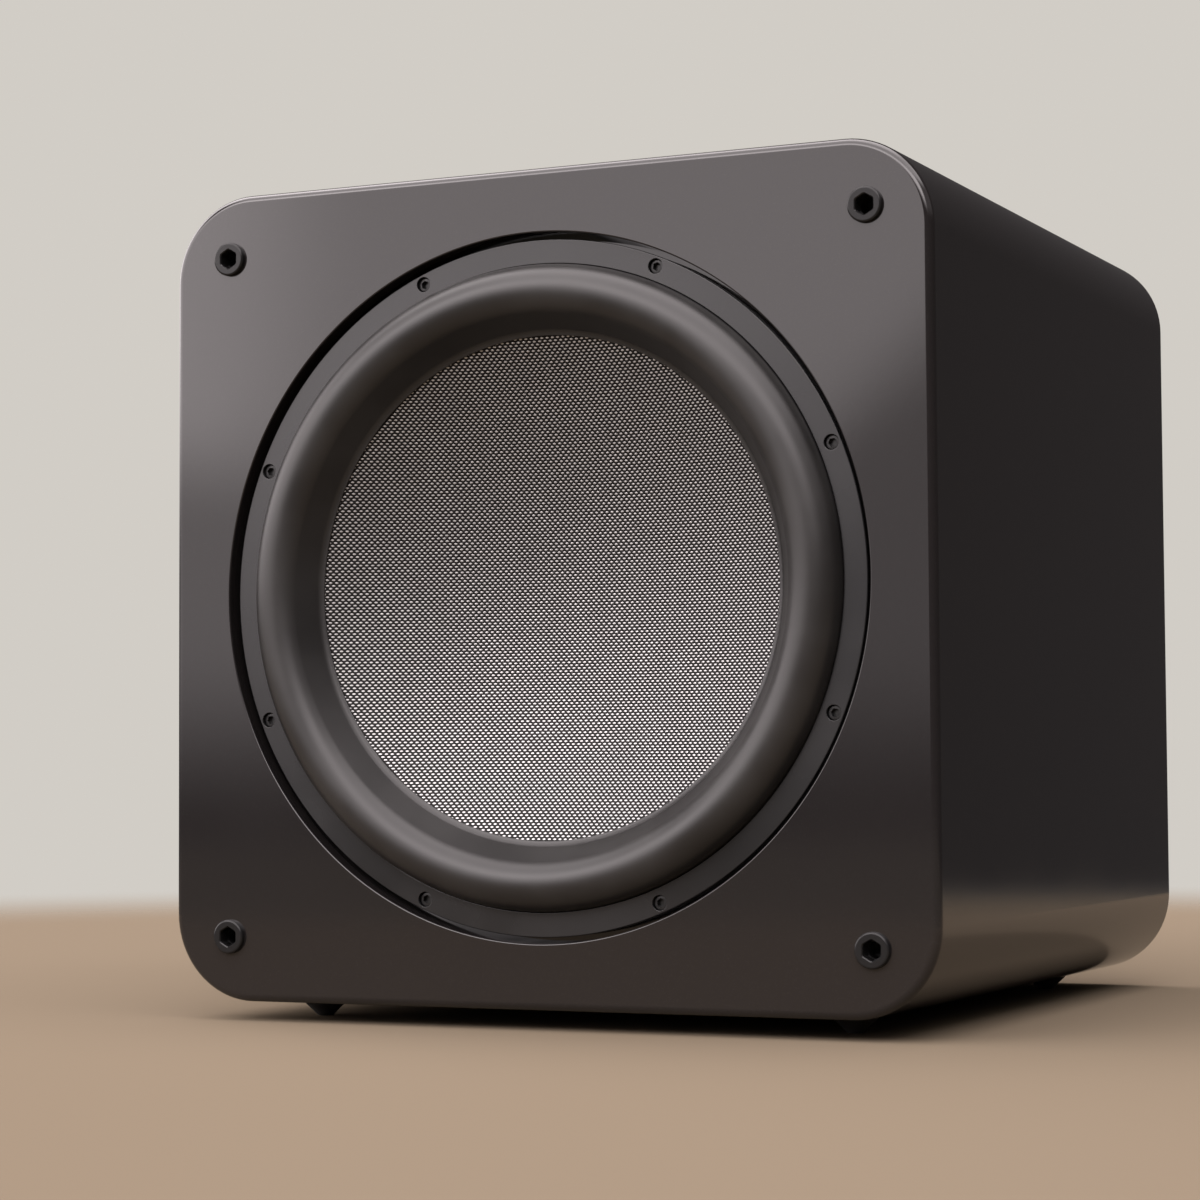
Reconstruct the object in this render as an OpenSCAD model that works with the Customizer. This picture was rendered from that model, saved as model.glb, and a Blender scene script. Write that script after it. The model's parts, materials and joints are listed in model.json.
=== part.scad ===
// Powered subwoofer: a sealed, rounded cabinet with one large front driver and a
// rear amplifier. +Z is up, the front faces -Y, +X is to the right of someone
// facing the front, and the origin is on the floor under the cabinet's centre.

/* [Cabinet] */
// Width and height of the cabinet, without its feet
cabinet_size = 460; // [440:5:500]
// Depth of the cabinet, front face to rear face
cabinet_depth = 456; // [440:4:520]
// Radius of the four long corners
corner_radius = 49; // [30:1:60]
// Radius of the front edge
front_edge_radius = 4.5; // [2:0.5:8]
// Thickness of the sides, the rear panel and the braces
wall = 18; // [16:1:20]
// Thickness of the front baffle
baffle_thickness = 38; // [34:1:42]

/* [Feet and grille sockets] */
// Height of a foot under the cabinet
foot_height = 11; // [8:1:20]
// Sideways distance from the centre line to a foot
foot_x = 163; // [120:1:175]
// Distance from the middle of the cabinet to a foot, front to back
foot_y = 173; // [140:1:180]
// Sideways and vertical distance from the centre to a grille socket
socket_offset = 193.5; // [190:0.5:196]
// Diameter of the round hole that takes a grille peg
socket_bore = 9.8; // [8:0.1:10]

/* [Driver] */
// Radius of the recess round the driver
recess_radius = 194; // [192:0.5:198]
// Outer radius of the driver's flange
flange_radius = 190.8; // [189:0.2:191]
// Depth of the trim ring's face behind the front face
flange_inset = 5.5; // [4:0.5:7]
// Number of driver screws
driver_screws_n = 8; // [6:1:12]
// Radius of the half-roll surround
roll_radius = 15; // [14:0.5:15]
// Radius of the dish that the cone's front is pressed to
dish_curve = 350; // [300:10:450]
// Radius of the voice coil's former
coil_radius = 38.6; // [38:0.1:38.6]

/* [Amplifier] */
// Width of the amplifier's plate
plate_width = 310; // [310:2:330]
// Height of the amplifier's plate
plate_height = 330; // [330:2:340]
// Number of fins on the heat sink
fin_count = 24; // [12:1:30]
// Radius of a control knob
knob_radius = 10; // [8:0.5:11]
// Angle that the power rocker stands at in rest
rocker_tilt = 7; // [4:0.5:7]

/* [Hidden] */
$fn = 96;

// Colours
lacquer = [0.03, 0.03, 0.032];
board_wood = [0.55, 0.44, 0.32];
satin_black = [0.09, 0.09, 0.095];
rubber_grey = [0.16, 0.16, 0.17];
dark_metal = [0.14, 0.14, 0.15];
bare_metal = [0.72, 0.72, 0.74];
brass_tone = [0.78, 0.62, 0.3];
copper_tone = [0.75, 0.42, 0.25];
foam_grey = [0.3, 0.3, 0.32];
board_green = [0.08, 0.3, 0.16];
led_blue = [0.3, 0.5, 0.9];

// How far a cutter reaches past the face it cuts, and how far joined solids sink
// into each other
past = 1;
sink_in = 0.5;

// Cabinet
centre_z = foot_height + cabinet_size / 2;
front_y = -cabinet_depth / 2;
inside_size = cabinet_size - 2 * wall;
inside_radius = corner_radius - wall;
board_gap = 0.1;
rear_edge_radius = 3;
tongue_depth = 6;
tongue_gap = 0.2;
edge_glint = 0.8;
side_gap = 2 * board_gap;

// Braces and damping
magnet_brace_y = -68;
rear_brace_y = 60;
magnet_brace_hole = 108;
rear_brace_hole = 90;
brace_window = 80;
brace_window_at = 140;
brace_window_corner = 12;
pad_thickness = 25;
pad_width = 240;
pad_y0 = 82;
pad_length = 120;

// Grille sockets
socket_ring_radius = 9.6;
socket_barrel_radius = 7;
socket_proud = 3;
socket_depth = 18;
socket_floor = 2;
socket_hex_flats = 10;
socket_hex_depth = 9;

// Feet
foot_top_radius = 15;
foot_tip_radius = 4.75;
foot_rim = 0.8;
stud_radius = 3.95;
stud_bore = 4;
stud_start = 4;
stud_end = foot_height + 15;
foot_insert_radius = 6;
foot_insert_length = 16;
stud_gap = 0.2;

// Driver flange and screws, as heights out of the front face
flange_top = -flange_inset;
ring_thickness = 4;
basket_top = flange_top - ring_thickness;
basket_flange = 7;
basket_under = basket_top - basket_flange;
gasket_thickness = 1.5;
recess_floor = basket_under - gasket_thickness;
driver_hole = 175.6;
gasket_outer = flange_radius - 0.4;
basket_outer = flange_radius - 0.2;
screw_circle = 185.2;
screw_head_radius = 3.95;
screw_head_height = 5;
screw_hole_radius = 4.2;
screw_shank = 2.45;
screw_clear = 2.8;
screw_head_top = flange_top - 2;
screw_seat = screw_head_top - screw_head_height;
screw_hex = 4;
screw_hex_depth = 2.6;
screw_length = 26.5;
insert_radius = 4;
insert_length = 16;
insert_bore = 2.55;

// Surround
roll_outer = 177;
roll_centre = roll_outer - roll_radius;
roll_inner = roll_centre - roll_radius;
roll_base = -5.5;
rubber = 1.6;
ring_inner = roll_outer + 0.2;
land_outer = 180.3;
land_seat = land_outer + 0.1;
land_top = basket_top;
land_thickness = 1.6;
dish_edge = 139.4;
rim_start = dish_edge + 0.2;
flank_angle = 60;
flank_foot = [141.2, -11.58];
lip_inner = dish_edge - 0.7;
lip_top = -12.2;
lip_under = -12.65;
land_under = -14.4;

// Cone, dish and coil
dish_centre = 308;
dish_thickness = 1.2;
cone_rim_top = land_under;
cone_rim_under = -16;
cone_rim_inner = dish_edge;
neck_height = -78;
cone_rim_flat = 2;
neck_length = 6;
neck_wall = 2;
cone_wall = 1.5;
former_wall = 0.5;
former_top = -44;
former_bottom = -156;
winding_radius = coil_radius + 0.8;
winding_top = -114;
winding_bottom = -154;
glue_gap = 0.05;

// Basket and motor
frame_wall = 3.5;
frame_outer = 174.5;
frame_lip_under = -40;
ledge_radius = 108;
ledge_inner = ledge_radius - 2;
frame_lip_top = frame_lip_under + 2;
ledge_top = -100;
ledge_under = -104;
seat_radius = 96;
seat_inner = 92;
base_under = -128;
base_top = -123;
base_hole = 46;
basket_windows = 8;
spider_thickness = 1.2;
spider_outer = 105;
spider_waves = 5;
spider_wave_height = 2.6;
spider_roll_start = 48;
spider_roll_end = 90;
plate_bottom = -140;
plate_radius = 95;
plate_bore = 40.2;
magnet_radius = 100;
magnet_bore = 55;
magnet_thickness = 20;
magnet_glue = 0.1;
shorting_outer = magnet_bore - 1.5;
shorting_inner = winding_radius + 1.6;
shorting_height = 14;
yoke_top = plate_bottom - 2 * magnet_thickness;
yoke_bottom = yoke_top - 12;
pole_radius = 37.2;
pole_top = -126;
vent_radius = 12;
boot_radius = 103;
terminal_angle = -45;
terminal_reach = 28;
terminal_width = 30;
terminal_start = seat_radius - 2;
lead_apart = 4;
lead_centre = [76.1, -115.5];
terminal_top = lead_centre[1];
terminal_under = -126;
lead_bend = 42.9;
lead_sweep = 148;
lead_radius = 1.1;
bend_swell = 0.15;
cable_radius = 2.4;
cable_entry = [-100, -91];
cable_entry_radius = 2.6;
wire_fn = 24;

// Amplifier, as heights out of the rear face
plate_thickness = 3;
plate_corner = 6;
plate_rebate = 4;
plate_opening_w = plate_width - 20;
plate_opening_h = plate_height - 20;
plate_fit = 0.5;
tub_w = plate_opening_w - 6;
tub_h = plate_opening_h - 6;
tub_depth = 85;
tub_wall = 2;
tub_floor = -plate_thickness - tub_depth;
board_thickness = 1.6;
main_board_w = 140;
main_board_h = 280;
main_board_u = -62;
main_board_top = -80;
input_board_top = -16.4;
input_board_w = 270;
input_board_h = 120;
input_board_v = 85;
sink_w = 260;
sink_h = 100;
sink_v = -35;
sink_base = 2.5;
sink_depth = 8.5;
fin_thickness = 2.4;
amp_screw_u = plate_width / 2 - 5;
amp_screw_v = plate_height / 2 - 5;
amp_screw_spots = concat(
    [for (s = [-1, 1], k = [-2:2]) [s * amp_screw_u, k * amp_screw_v / 2]],
    [for (s = [-1, 1]) [0, s * amp_screw_v]]
);
amp_screw_radius = 1.75;
amp_screw_clear = amp_screw_radius + 0.4;
amp_screw_tip = -wall + 3;
amp_head_radius = 3.6;
control_v = 125;
volume_u = -90;
lowpass_u = -45;
phase_u = 0;
knob_spots = [for (u = [volume_u, lowpass_u, phase_u]) [u, control_v]];
shaft_radius = 3;
shaft_start = -13;
shaft_end_gap = 0.2;
knob_roof = 2;
bush_bore = 3.05;
bush_radius = 3.6;
knob_base = 0.8;
knob_height = 9.2;
switch_u = 55;
switch_travel = 5;
switch_slot = switch_travel + 6;
switch_slot_h = 5;
led_u = 100;
led_radius = 1.5;
xlr_radius = 11.8;
rca_nut = 6;
rca_neck = 4.9;
rca_barrel = 4.15;
xlr_spots = [[-95, 65], [-60, 65]];
rca_spots = [for (u = [-10, 12], v = [54, 76]) [u, v]];
inlet_u = -95;
mains_v = -127;
inlet_w = 28;
inlet_h = 34;
inlet_depth = 26;
inlet_flange_w = 36;
inlet_flange_h = 42;
socket_w = 24;
socket_h = 17;
socket_v = 6.5;
socket_cavity = 15;
drawer_w = 22;
drawer_h = 7.4;
drawer_v = -11.5;
drawer_depth = 21;
rocker_u = -45;
rocker_w = 13;
rocker_h = 19;
rocker_pivot = -1.2;
bezel_wall = 1.5;
transformer_at = [78, -75];
transformer_height = 44;
opening_gap = 0.1;
block_gap = 0.4;

// Driver frame: z is the height out of the front face, on the driver's axis
module on_front() {
    translate([0, front_y, centre_z])
        rotate([90, 0, 0])
            children();
}

// Amplifier frame: seen from behind, x is to the right, y is up and z points out
module on_rear() {
    translate([0, cabinet_depth / 2, centre_z])
        rotate([90, 0, 180])
            children();
}

// Copies its child to each spot of a list
module at_spots(spots) {
    for (p = spots)
        translate([p[0], p[1], 0])
            children();
}

// A ring from z0 up to z1
module ring(outer, inner, z0, z1) {
    translate([0, 0, z0])
        difference() {
            cylinder(r = outer, h = z1 - z0);
            translate([0, 0, -past])
                cylinder(r = inner, h = z1 - z0 + 2 * past);
        }
}

// A round bar from z0 up to z1
module bar(radius, z0, z1) {
    translate([0, 0, z0])
        cylinder(r = radius, h = z1 - z0);
}

// A block centred on x and y, from z0 up to z1
module block(w, h, z0, z1) {
    translate([-w / 2, -h / 2, z0])
        cube([w, h, z1 - z0]);
}

module rounded_rect(w, h, r) {
    square([w - 2 * r, h], center = true);
    square([w, h - 2 * r], center = true);
    for (sx = [-1, 1], sy = [-1, 1])
        translate([sx * (w / 2 - r), sy * (h / 2 - r)])
            circle(r = r);
}

// A rounded plate from z0 up to z1
module rounded_plate(w, h, r, z0, z1) {
    translate([0, 0, z0])
        linear_extrude(height = z1 - z0)
            rounded_rect(w, h, r);
}

// Half of a slab's section, out to x = r, with its top outer edge rounded
module eased_half(r, t, edge) {
    square([r, t - edge]);
    square([r - edge, t]);
    intersection() {
        translate([r - edge, t - edge])
            circle(r = edge);
        square([r, t]);
    }
}

module eased_bar(length, width, t, edge) {
    rotate([90, 0, 90])
        linear_extrude(height = length, center = true) {
            eased_half(width / 2, t, edge);
            mirror([1, 0])
                eased_half(width / 2, t, edge);
        }
}

// A rounded-square slab of side w, from z = 0 to t, with its top edge rounded
module eased_slab(w, t, r, edge) {
    eased_bar(w - 2 * r, w, t, edge);
    rotate([0, 0, 90])
        eased_bar(w - 2 * r, w, t, edge);
    for (sx = [-1, 1], sy = [-1, 1])
        translate([sx * (w / 2 - r), sy * (w / 2 - r), 0])
            rotate_extrude()
                eased_half(r, t, edge);
}

// A round rod from point a to point b, with a ball at each end
module rod(a, b, r) {
    run = b - a;
    length = norm(run);
    translate(a)
        rotate([0, acos(run[2] / length), atan2(run[1], run[0])])
            cylinder(r = r, h = length, $fn = wire_fn);
    for (p = [a, b])
        translate(p)
            sphere(r = r + bend_swell, $fn = wire_fn);
}

// A bent round wire or cable through a list of points
module wire(points, r) {
    for (k = [0:len(points) - 2])
        rod(points[k], points[k + 1], r);
}

function socket_spots() =
    [for (sx = [-1, 1], sy = [-1, 1]) [sx * socket_offset, sy * socket_offset]];

function foot_spots() =
    [for (sx = [-1, 1], sy = [-1, 1]) [sx * foot_x, sy * foot_y]];

module at_driver_screws() {
    for (k = [0:driver_screws_n - 1])
        rotate([0, 0, (k + 0.5) * 360 / driver_screws_n])
            translate([screw_circle, 0, 0])
                children();
}

// Cabinet ---------------------------------------------------------------

// The wrapped sides, open at the front and closed at the back by rear_panel
module cabinet_shell() {
    length = cabinet_depth - baffle_thickness;
    color(lacquer)
        difference() {
            on_rear()
                translate([0, 0, -length])
                    eased_slab(cabinet_size, length, corner_radius, rear_edge_radius);
            on_rear()
                rounded_plate(
                    inside_size, inside_size, inside_radius, -length - past, past
                );
            at_spots(foot_spots())
                bar(foot_insert_radius, foot_height - past, foot_height + wall + past);
        }
}

module front_baffle() {
    color(lacquer)
        on_front()
            difference() {
                union() {
                    translate([0, 0, -baffle_thickness])
                        eased_slab(
                            cabinet_size, baffle_thickness, corner_radius, front_edge_radius
                        );
                    rounded_plate(
                        inside_size - tongue_gap, inside_size - tongue_gap, inside_radius,
                        -baffle_thickness - tongue_depth, -baffle_thickness
                    );
                }
                bar(recess_radius, recess_floor, past);
                translate([0, 0, -edge_glint])
                    cylinder(
                        r1 = recess_radius, r2 = recess_radius + 2 * edge_glint,
                        h = 2 * edge_glint
                    );
                bar(driver_hole, -baffle_thickness - tongue_depth - past, 0);
                at_driver_screws()
                    bar(insert_radius + glue_gap, recess_floor - insert_length - past, 0);
                at_spots(socket_spots())
                    bar(socket_barrel_radius, -socket_depth, past);
            }
}

module rear_panel() {
    side = inside_size - side_gap;
    color(lacquer)
        on_rear()
            difference() {
                rounded_plate(side, side, inside_radius, -wall, 0);
                rounded_plate(
                    plate_width + 2 * plate_fit, plate_height + 2 * plate_fit,
                    plate_corner + plate_fit, -plate_rebate, past
                );
                block(plate_opening_w, plate_opening_h, -wall - past, past);
                at_spots(amp_screw_spots)
                    bar(amp_screw_radius + glue_gap, amp_screw_tip - past, past);
            }
}

// A board across the cabinet with a round hole in its middle and a window in
// each corner. y0 is where its front face lies.
module brace_board(y0, hole) {
    side = inside_size - side_gap;
    color(board_wood)
        translate([0, y0 + wall, centre_z])
            rotate([90, 0, 0])
                difference() {
                    rounded_plate(side, side, inside_radius, 0, wall);
                    bar(hole, -past, wall + past);
                    for (sx = [-1, 1], sy = [-1, 1])
                        translate([sx * brace_window_at, sy * brace_window_at, 0])
                            rounded_plate(
                                brace_window, brace_window, brace_window_corner,
                                -past, wall + past
                            );
                }
}

module magnet_brace() {
    brace_board(magnet_brace_y, magnet_brace_hole);
}

module rear_brace() {
    brace_board(rear_brace_y, rear_brace_hole);
}

// Foam on the four inner walls, round the amplifier
module damping_pads() {
    color(foam_grey)
        translate([0, pad_y0 + pad_length, centre_z])
            rotate([90, 0, 0])
                for (k = [0:3])
                    rotate([0, 0, 90 * k])
                        translate([0, inside_size / 2 - pad_thickness / 2 - board_gap, 0])
                            block(pad_width, pad_thickness, 0, pad_length);
}

// One socket: a ring with a soft lip, a barrel in the baffle, a hexagon for
// its wrench and a round hole for the peg
module grille_socket() {
    lip = 1.8;
    difference() {
        union() {
            rotate_extrude()
                eased_half(socket_ring_radius, socket_proud, lip);
            bar(socket_barrel_radius - glue_gap, -socket_depth, sink_in);
        }
        translate([0, 0, socket_proud - socket_hex_depth])
            rotate([0, 0, 30])
                cylinder(
                    r = socket_hex_flats / sqrt(3), h = socket_hex_depth + past, $fn = 6
                );
        bar(socket_bore / 2, -socket_depth + socket_floor, past);
    }
}

module grille_sockets() {
    color(satin_black)
        on_front()
            at_spots(socket_spots())
                grille_socket();
}

// Feet ------------------------------------------------------------------

module feet() {
    color(satin_black)
        at_spots(foot_spots())
            difference() {
                rotate_extrude()
                    polygon([
                        [0, 0],
                        [foot_tip_radius, 0],
                        [foot_top_radius, foot_height - foot_rim],
                        [foot_top_radius, foot_height],
                        [0, foot_height]
                    ]);
                bar(stud_bore, stud_start, foot_height + past);
            }
}

module foot_studs() {
    color(bare_metal)
        at_spots(foot_spots())
            bar(stud_radius, stud_start + stud_gap, stud_end);
}

module foot_inserts() {
    color(brass_tone)
        at_spots(foot_spots())
            ring(
                foot_insert_radius - glue_gap, stud_bore,
                foot_height, foot_height + foot_insert_length
            );
}

// Driver ----------------------------------------------------------------

// Section of the cast basket, from its flange down to the magnet's seat
module basket_section() {
    polygon([
        [land_seat, basket_top],
        [basket_outer, basket_top],
        [basket_outer, basket_under],
        [frame_outer, basket_under],
        [frame_outer, frame_lip_under],
        [ledge_radius, ledge_under],
        [seat_radius, ledge_under],
        [seat_radius, base_under],
        [base_hole, base_under],
        [base_hole, base_top],
        [seat_inner, base_top],
        [seat_inner, ledge_top],
        [ledge_inner, ledge_top],
        [frame_outer - frame_wall, frame_lip_top],
        [frame_outer - frame_wall, basket_top - land_thickness],
        [land_seat, basket_top - land_thickness]
    ]);
}

// One window between two spokes of the basket, widening outwards
module basket_window() {
    half_spoke = 9;
    near = ledge_radius + 3;
    far = frame_outer - 8;
    spread = 180 / basket_windows;
    translate([0, 0, ledge_under])
        linear_extrude(height = frame_lip_under - ledge_under)
            difference() {
                intersection() {
                    difference() {
                        circle(r = far);
                        circle(r = near);
                    }
                    polygon([
                        [0, 0],
                        [2 * far * cos(spread), -2 * far * sin(spread)],
                        [2 * far * cos(spread), 2 * far * sin(spread)]
                    ]);
                }
                for (s = [-1, 1])
                    rotate([0, 0, s * spread])
                        translate([0, -half_spoke])
                            square([far + past, 2 * half_spoke]);
            }
}

module basket() {
    color(dark_metal)
        on_front()
            difference() {
                rotate_extrude()
                    basket_section();
                for (k = [0:basket_windows - 1])
                    rotate([0, 0, k * 360 / basket_windows])
                        basket_window();
                at_driver_screws() {
                    bar(screw_clear, basket_under - past, basket_top);
                    bar(screw_hole_radius, screw_seat, basket_top + past);
                }
            }
}

module driver_gasket() {
    color(foam_grey)
        on_front()
            difference() {
                ring(gasket_outer, driver_hole, recess_floor, basket_under);
                at_driver_screws()
                    bar(screw_clear, recess_floor - past, basket_under + past);
            }
}

module trim_ring() {
    chamfer = 0.6;
    color(satin_black)
        on_front()
            difference() {
                rotate_extrude()
                    polygon([
                        [ring_inner, basket_top],
                        [flange_radius, basket_top],
                        [flange_radius, flange_top - chamfer],
                        [flange_radius - chamfer, flange_top],
                        [ring_inner + chamfer, flange_top],
                        [ring_inner, flange_top - chamfer]
                    ]);
                at_driver_screws()
                    bar(screw_hole_radius, basket_top - past, 0);
            }
}

module driver_screws() {
    color(dark_metal)
        on_front()
            at_driver_screws()
                difference() {
                    union() {
                        bar(screw_head_radius, screw_seat, screw_head_top);
                        bar(screw_shank, screw_head_top - screw_length, screw_seat);
                    }
                    translate([0, 0, screw_head_top - screw_hex_depth])
                        cylinder(
                            r = screw_hex / sqrt(3), h = screw_hex_depth + past, $fn = 6
                        );
                }
}

module driver_inserts() {
    color(brass_tone)
        on_front()
            at_driver_screws()
                ring(insert_radius, insert_bore, recess_floor - insert_length, recess_floor);
}

// Half-roll surround: an outer land under the trim ring, and a flank that runs
// down to an inner land on the cone's rim and a thin lip over the dish's edge
module surround_section() {
    inner_radius = roll_radius - rubber;
    intersection() {
        translate([roll_centre, roll_base])
            difference() {
                circle(r = roll_radius);
                circle(r = inner_radius);
            }
        translate([roll_inner - past, roll_base])
            square([2 * (roll_radius + past), roll_radius + past]);
    }
    translate([roll_outer - rubber, land_top - land_thickness])
        square([rubber, roll_base - land_top + land_thickness]);
    translate([roll_outer - rubber, land_top - land_thickness])
        square([land_outer - roll_outer + rubber, land_thickness]);
    polygon([
        [rim_start, land_under],
        [roll_inner + rubber, land_under],
        [roll_inner + rubber, roll_base],
        [
            roll_centre - roll_radius * sin(flank_angle),
            roll_base + roll_radius * cos(flank_angle)
        ],
        flank_foot,
        [lip_inner, lip_top],
        [lip_inner, lip_under],
        [rim_start, lip_under]
    ]);
}

module surround() {
    color(rubber_grey)
        on_front()
            rotate_extrude()
                surround_section();
}

// Structural cone under the dish, from the surround's inner land to the coil
module cone_body() {
    neck = coil_radius + glue_gap;
    color(satin_black)
        on_front()
            rotate_extrude()
                polygon([
                    [cone_rim_inner, cone_rim_top],
                    [roll_inner + rubber, cone_rim_top],
                    [roll_inner + rubber, cone_rim_under],
                    [cone_rim_inner + cone_rim_flat, cone_rim_under],
                    [neck + neck_wall, neck_height - neck_length],
                    [neck, neck_height - neck_length],
                    [neck, neck_height],
                    [neck + cone_wall, neck_height]
                ]);
}

// The woven dish that shows at the front
module cone_dish() {
    deep_enough = 60;
    color(bare_metal)
        on_front()
            rotate_extrude()
                intersection() {
                    translate([0, dish_centre])
                        difference() {
                            circle(r = dish_curve + dish_thickness, $fn = 360);
                            circle(r = dish_curve, $fn = 360);
                        }
                    translate([0, -deep_enough])
                        square([dish_edge, deep_enough]);
                }
}

module coil_former() {
    color(bare_metal)
        on_front()
            ring(coil_radius, coil_radius - former_wall, former_bottom, former_top);
}

module voice_coil() {
    color(copper_tone)
        on_front()
            ring(winding_radius, coil_radius + glue_gap, winding_bottom, winding_top);
}

// Height of the spider's mid-plane at radius r
function spider_wave(r) =
    spider_wave_height
    * sin(360 * spider_waves * (r - spider_roll_start)
        / (spider_roll_end - spider_roll_start));

module spider() {
    steps = 60;
    base = ledge_top;
    radii = [
        for (k = [0:steps])
            spider_roll_start + k * (spider_roll_end - spider_roll_start) / steps
    ];
    color(board_wood)
        on_front()
            rotate_extrude()
                polygon(concat(
                    [[coil_radius + glue_gap, base]],
                    [for (r = radii) [r, base + spider_wave(r)]],
                    [[spider_outer, base], [spider_outer, base + spider_thickness]],
                    [
                        for (k = [steps:-1:0])
                            [radii[k], base + spider_thickness + spider_wave(radii[k])]
                    ],
                    [[coil_radius + glue_gap, base + spider_thickness]]
                ));
}

// Two braided leads that arch from the former, over the spider and out through
// the basket to the terminals
module tinsel_leads() {
    color(copper_tone)
        on_front()
            for (s = [-1, 1])
                rotate([0, 0, terminal_angle + s * lead_apart])
                    translate([lead_centre[0], 0, lead_centre[1]])
                        rotate([90, 0, 0])
                            rotate_extrude(angle = lead_sweep)
                                translate([lead_bend, 0])
                                    circle(r = lead_radius, $fn = wire_fn);
}

module terminal_block() {
    color(satin_black)
        on_front()
            rotate([0, 0, terminal_angle])
                difference() {
                    translate([terminal_reach / 2 + terminal_start, 0, 0])
                        block(terminal_reach, terminal_width, terminal_under, terminal_top);
                    bar(seat_radius + glue_gap, terminal_under - past, terminal_top + past);
                }
}

module top_plate() {
    color(bare_metal)
        on_front()
            ring(plate_radius, plate_bore, plate_bottom, base_under);
}

module magnets() {
    color(dark_metal)
        on_front()
            for (k = [0, 1])
                ring(
                    magnet_radius, magnet_bore,
                    plate_bottom - (k + 1) * magnet_thickness,
                    plate_bottom - k * (magnet_thickness + magnet_glue)
                );
}

// Back plate and pole piece in one turned part, with a vent through it
module pole_yoke() {
    color(bare_metal)
        on_front()
            difference() {
                union() {
                    bar(plate_radius, yoke_bottom, yoke_top);
                    bar(pole_radius, yoke_top, pole_top);
                }
                bar(vent_radius, yoke_bottom - past, pole_top + past);
            }
}

module shorting_ring() {
    color(bare_metal)
        on_front()
            ring(shorting_outer, shorting_inner, yoke_top, yoke_top + shorting_height);
}

module magnet_boot() {
    inset = 1;
    color(rubber_grey)
        on_front()
            ring(
                boot_radius, magnet_radius + glue_gap,
                yoke_top + inset, plate_bottom - inset
            );
}

// Two-core cable from the driver's terminals, through the braces, to the amplifier
module speaker_cable() {
    start = (seat_radius + 8) / sqrt(2);
    terminal_y = front_y - terminal_under + cable_radius + bend_swell + glue_gap;
    drop = 25;
    out = 20;
    window_z = centre_z - brace_window_at;
    clear = 2;
    approach = 14;
    straight = 4;
    inside = 3.5;
    bow = [8, -6];
    entry_x = -cable_entry[0];
    entry_z = centre_z + cable_entry[1];
    tub_front = cabinet_depth / 2 + tub_floor;
    color(satin_black)
        wire(
            [
                [start, terminal_y, centre_z - start],
                [start + out, terminal_y + out / 2, centre_z - start - drop],
                [brace_window_at, magnet_brace_y - clear, window_z],
                [brace_window_at, rear_brace_y + wall + clear, window_z],
                [entry_x + bow[0], tub_front - approach, entry_z + bow[1]],
                [entry_x, tub_front - straight, entry_z],
                [entry_x, tub_front + inside, entry_z]
            ],
            cable_radius
        );
}

// Amplifier -------------------------------------------------------------

// Openings that the controls and sockets need in the plate
module plate_openings() {
    low = -plate_thickness - past;
    fit = 0.2;
    at_spots(knob_spots)
        bar(bush_radius + opening_gap, low, past);
    translate([switch_u, control_v, 0])
        block(switch_slot, switch_slot_h, low, past);
    translate([led_u, control_v, 0])
        bar(led_radius + opening_gap, low, past);
    at_spots(xlr_spots)
        bar(xlr_radius + opening_gap, low, past);
    at_spots(rca_spots)
        bar(rca_neck + opening_gap, low, past);
    translate([inlet_u, mains_v, 0])
        block(inlet_w + 2 * fit, inlet_h + 2 * fit, low, past);
    translate([rocker_u, mains_v, 0])
        block(rocker_w + 2 * (bezel_wall + fit), rocker_h + 2 * (bezel_wall + fit), low, past);
}

module amp_plate() {
    color(satin_black)
        on_rear()
            difference() {
                rounded_plate(plate_width, plate_height, plate_corner, -plate_thickness, 0);
                plate_openings();
                at_spots(amp_screw_spots)
                    bar(amp_screw_clear, -plate_thickness - past, past);
            }
}

module amp_gasket() {
    color(foam_grey)
        on_rear()
            difference() {
                rounded_plate(
                    plate_width, plate_height, plate_corner, -plate_rebate, -plate_thickness
                );
                block(plate_opening_w, plate_opening_h, -plate_rebate - past, past);
                at_spots(amp_screw_spots)
                    bar(amp_screw_clear, -plate_rebate - past, past);
            }
}

module amp_screws() {
    head = 2.2;
    edge = 1.2;
    hex_depth = 1.4;
    hex_radius = 1.45;
    color(dark_metal)
        on_rear()
            at_spots(amp_screw_spots)
                difference() {
                    union() {
                        rotate_extrude()
                            eased_half(amp_head_radius, head, edge);
                        bar(amp_screw_radius, amp_screw_tip, sink_in);
                    }
                    translate([0, 0, head - hex_depth])
                        cylinder(r = hex_radius, h = hex_depth + past, $fn = 6);
                }
}

// Folded steel tub that shuts the electronics off from the cabinet's air
module amp_tub() {
    color(bare_metal)
        on_rear()
            difference() {
                block(tub_w, tub_h, tub_floor, -plate_thickness);
                block(
                    tub_w - 2 * tub_wall, tub_h - 2 * tub_wall,
                    tub_floor + tub_wall, 0
                );
                translate(cable_entry)
                    bar(cable_entry_radius, tub_floor - past, tub_floor + tub_wall + past);
            }
}

module heat_sink() {
    pitch = (sink_w - fin_thickness) / (fin_count - 1);
    color(satin_black)
        on_rear()
            translate([0, sink_v, 0]) {
                block(sink_w, sink_h, 0, sink_base);
                for (k = [0:fin_count - 1])
                    translate([-(sink_w - fin_thickness) / 2 + k * pitch, 0, 0])
                        block(fin_thickness, sink_h, sink_base, sink_depth);
            }
}

module main_board() {
    color(board_green)
        on_rear()
            translate([main_board_u, 0, 0])
                block(
                    main_board_w, main_board_h,
                    main_board_top - board_thickness, main_board_top
                );
}

module board_standoffs() {
    inset = 8;
    post_radius = 3;
    color(brass_tone)
        on_rear()
            for (sx = [-1, 1], sy = [-1, 1])
                translate([
                    main_board_u + sx * (main_board_w / 2 - inset),
                    sy * (main_board_h / 2 - inset),
                    0
                ])
                    bar(post_radius, tub_floor + tub_wall, main_board_top - board_thickness);
}

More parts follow.
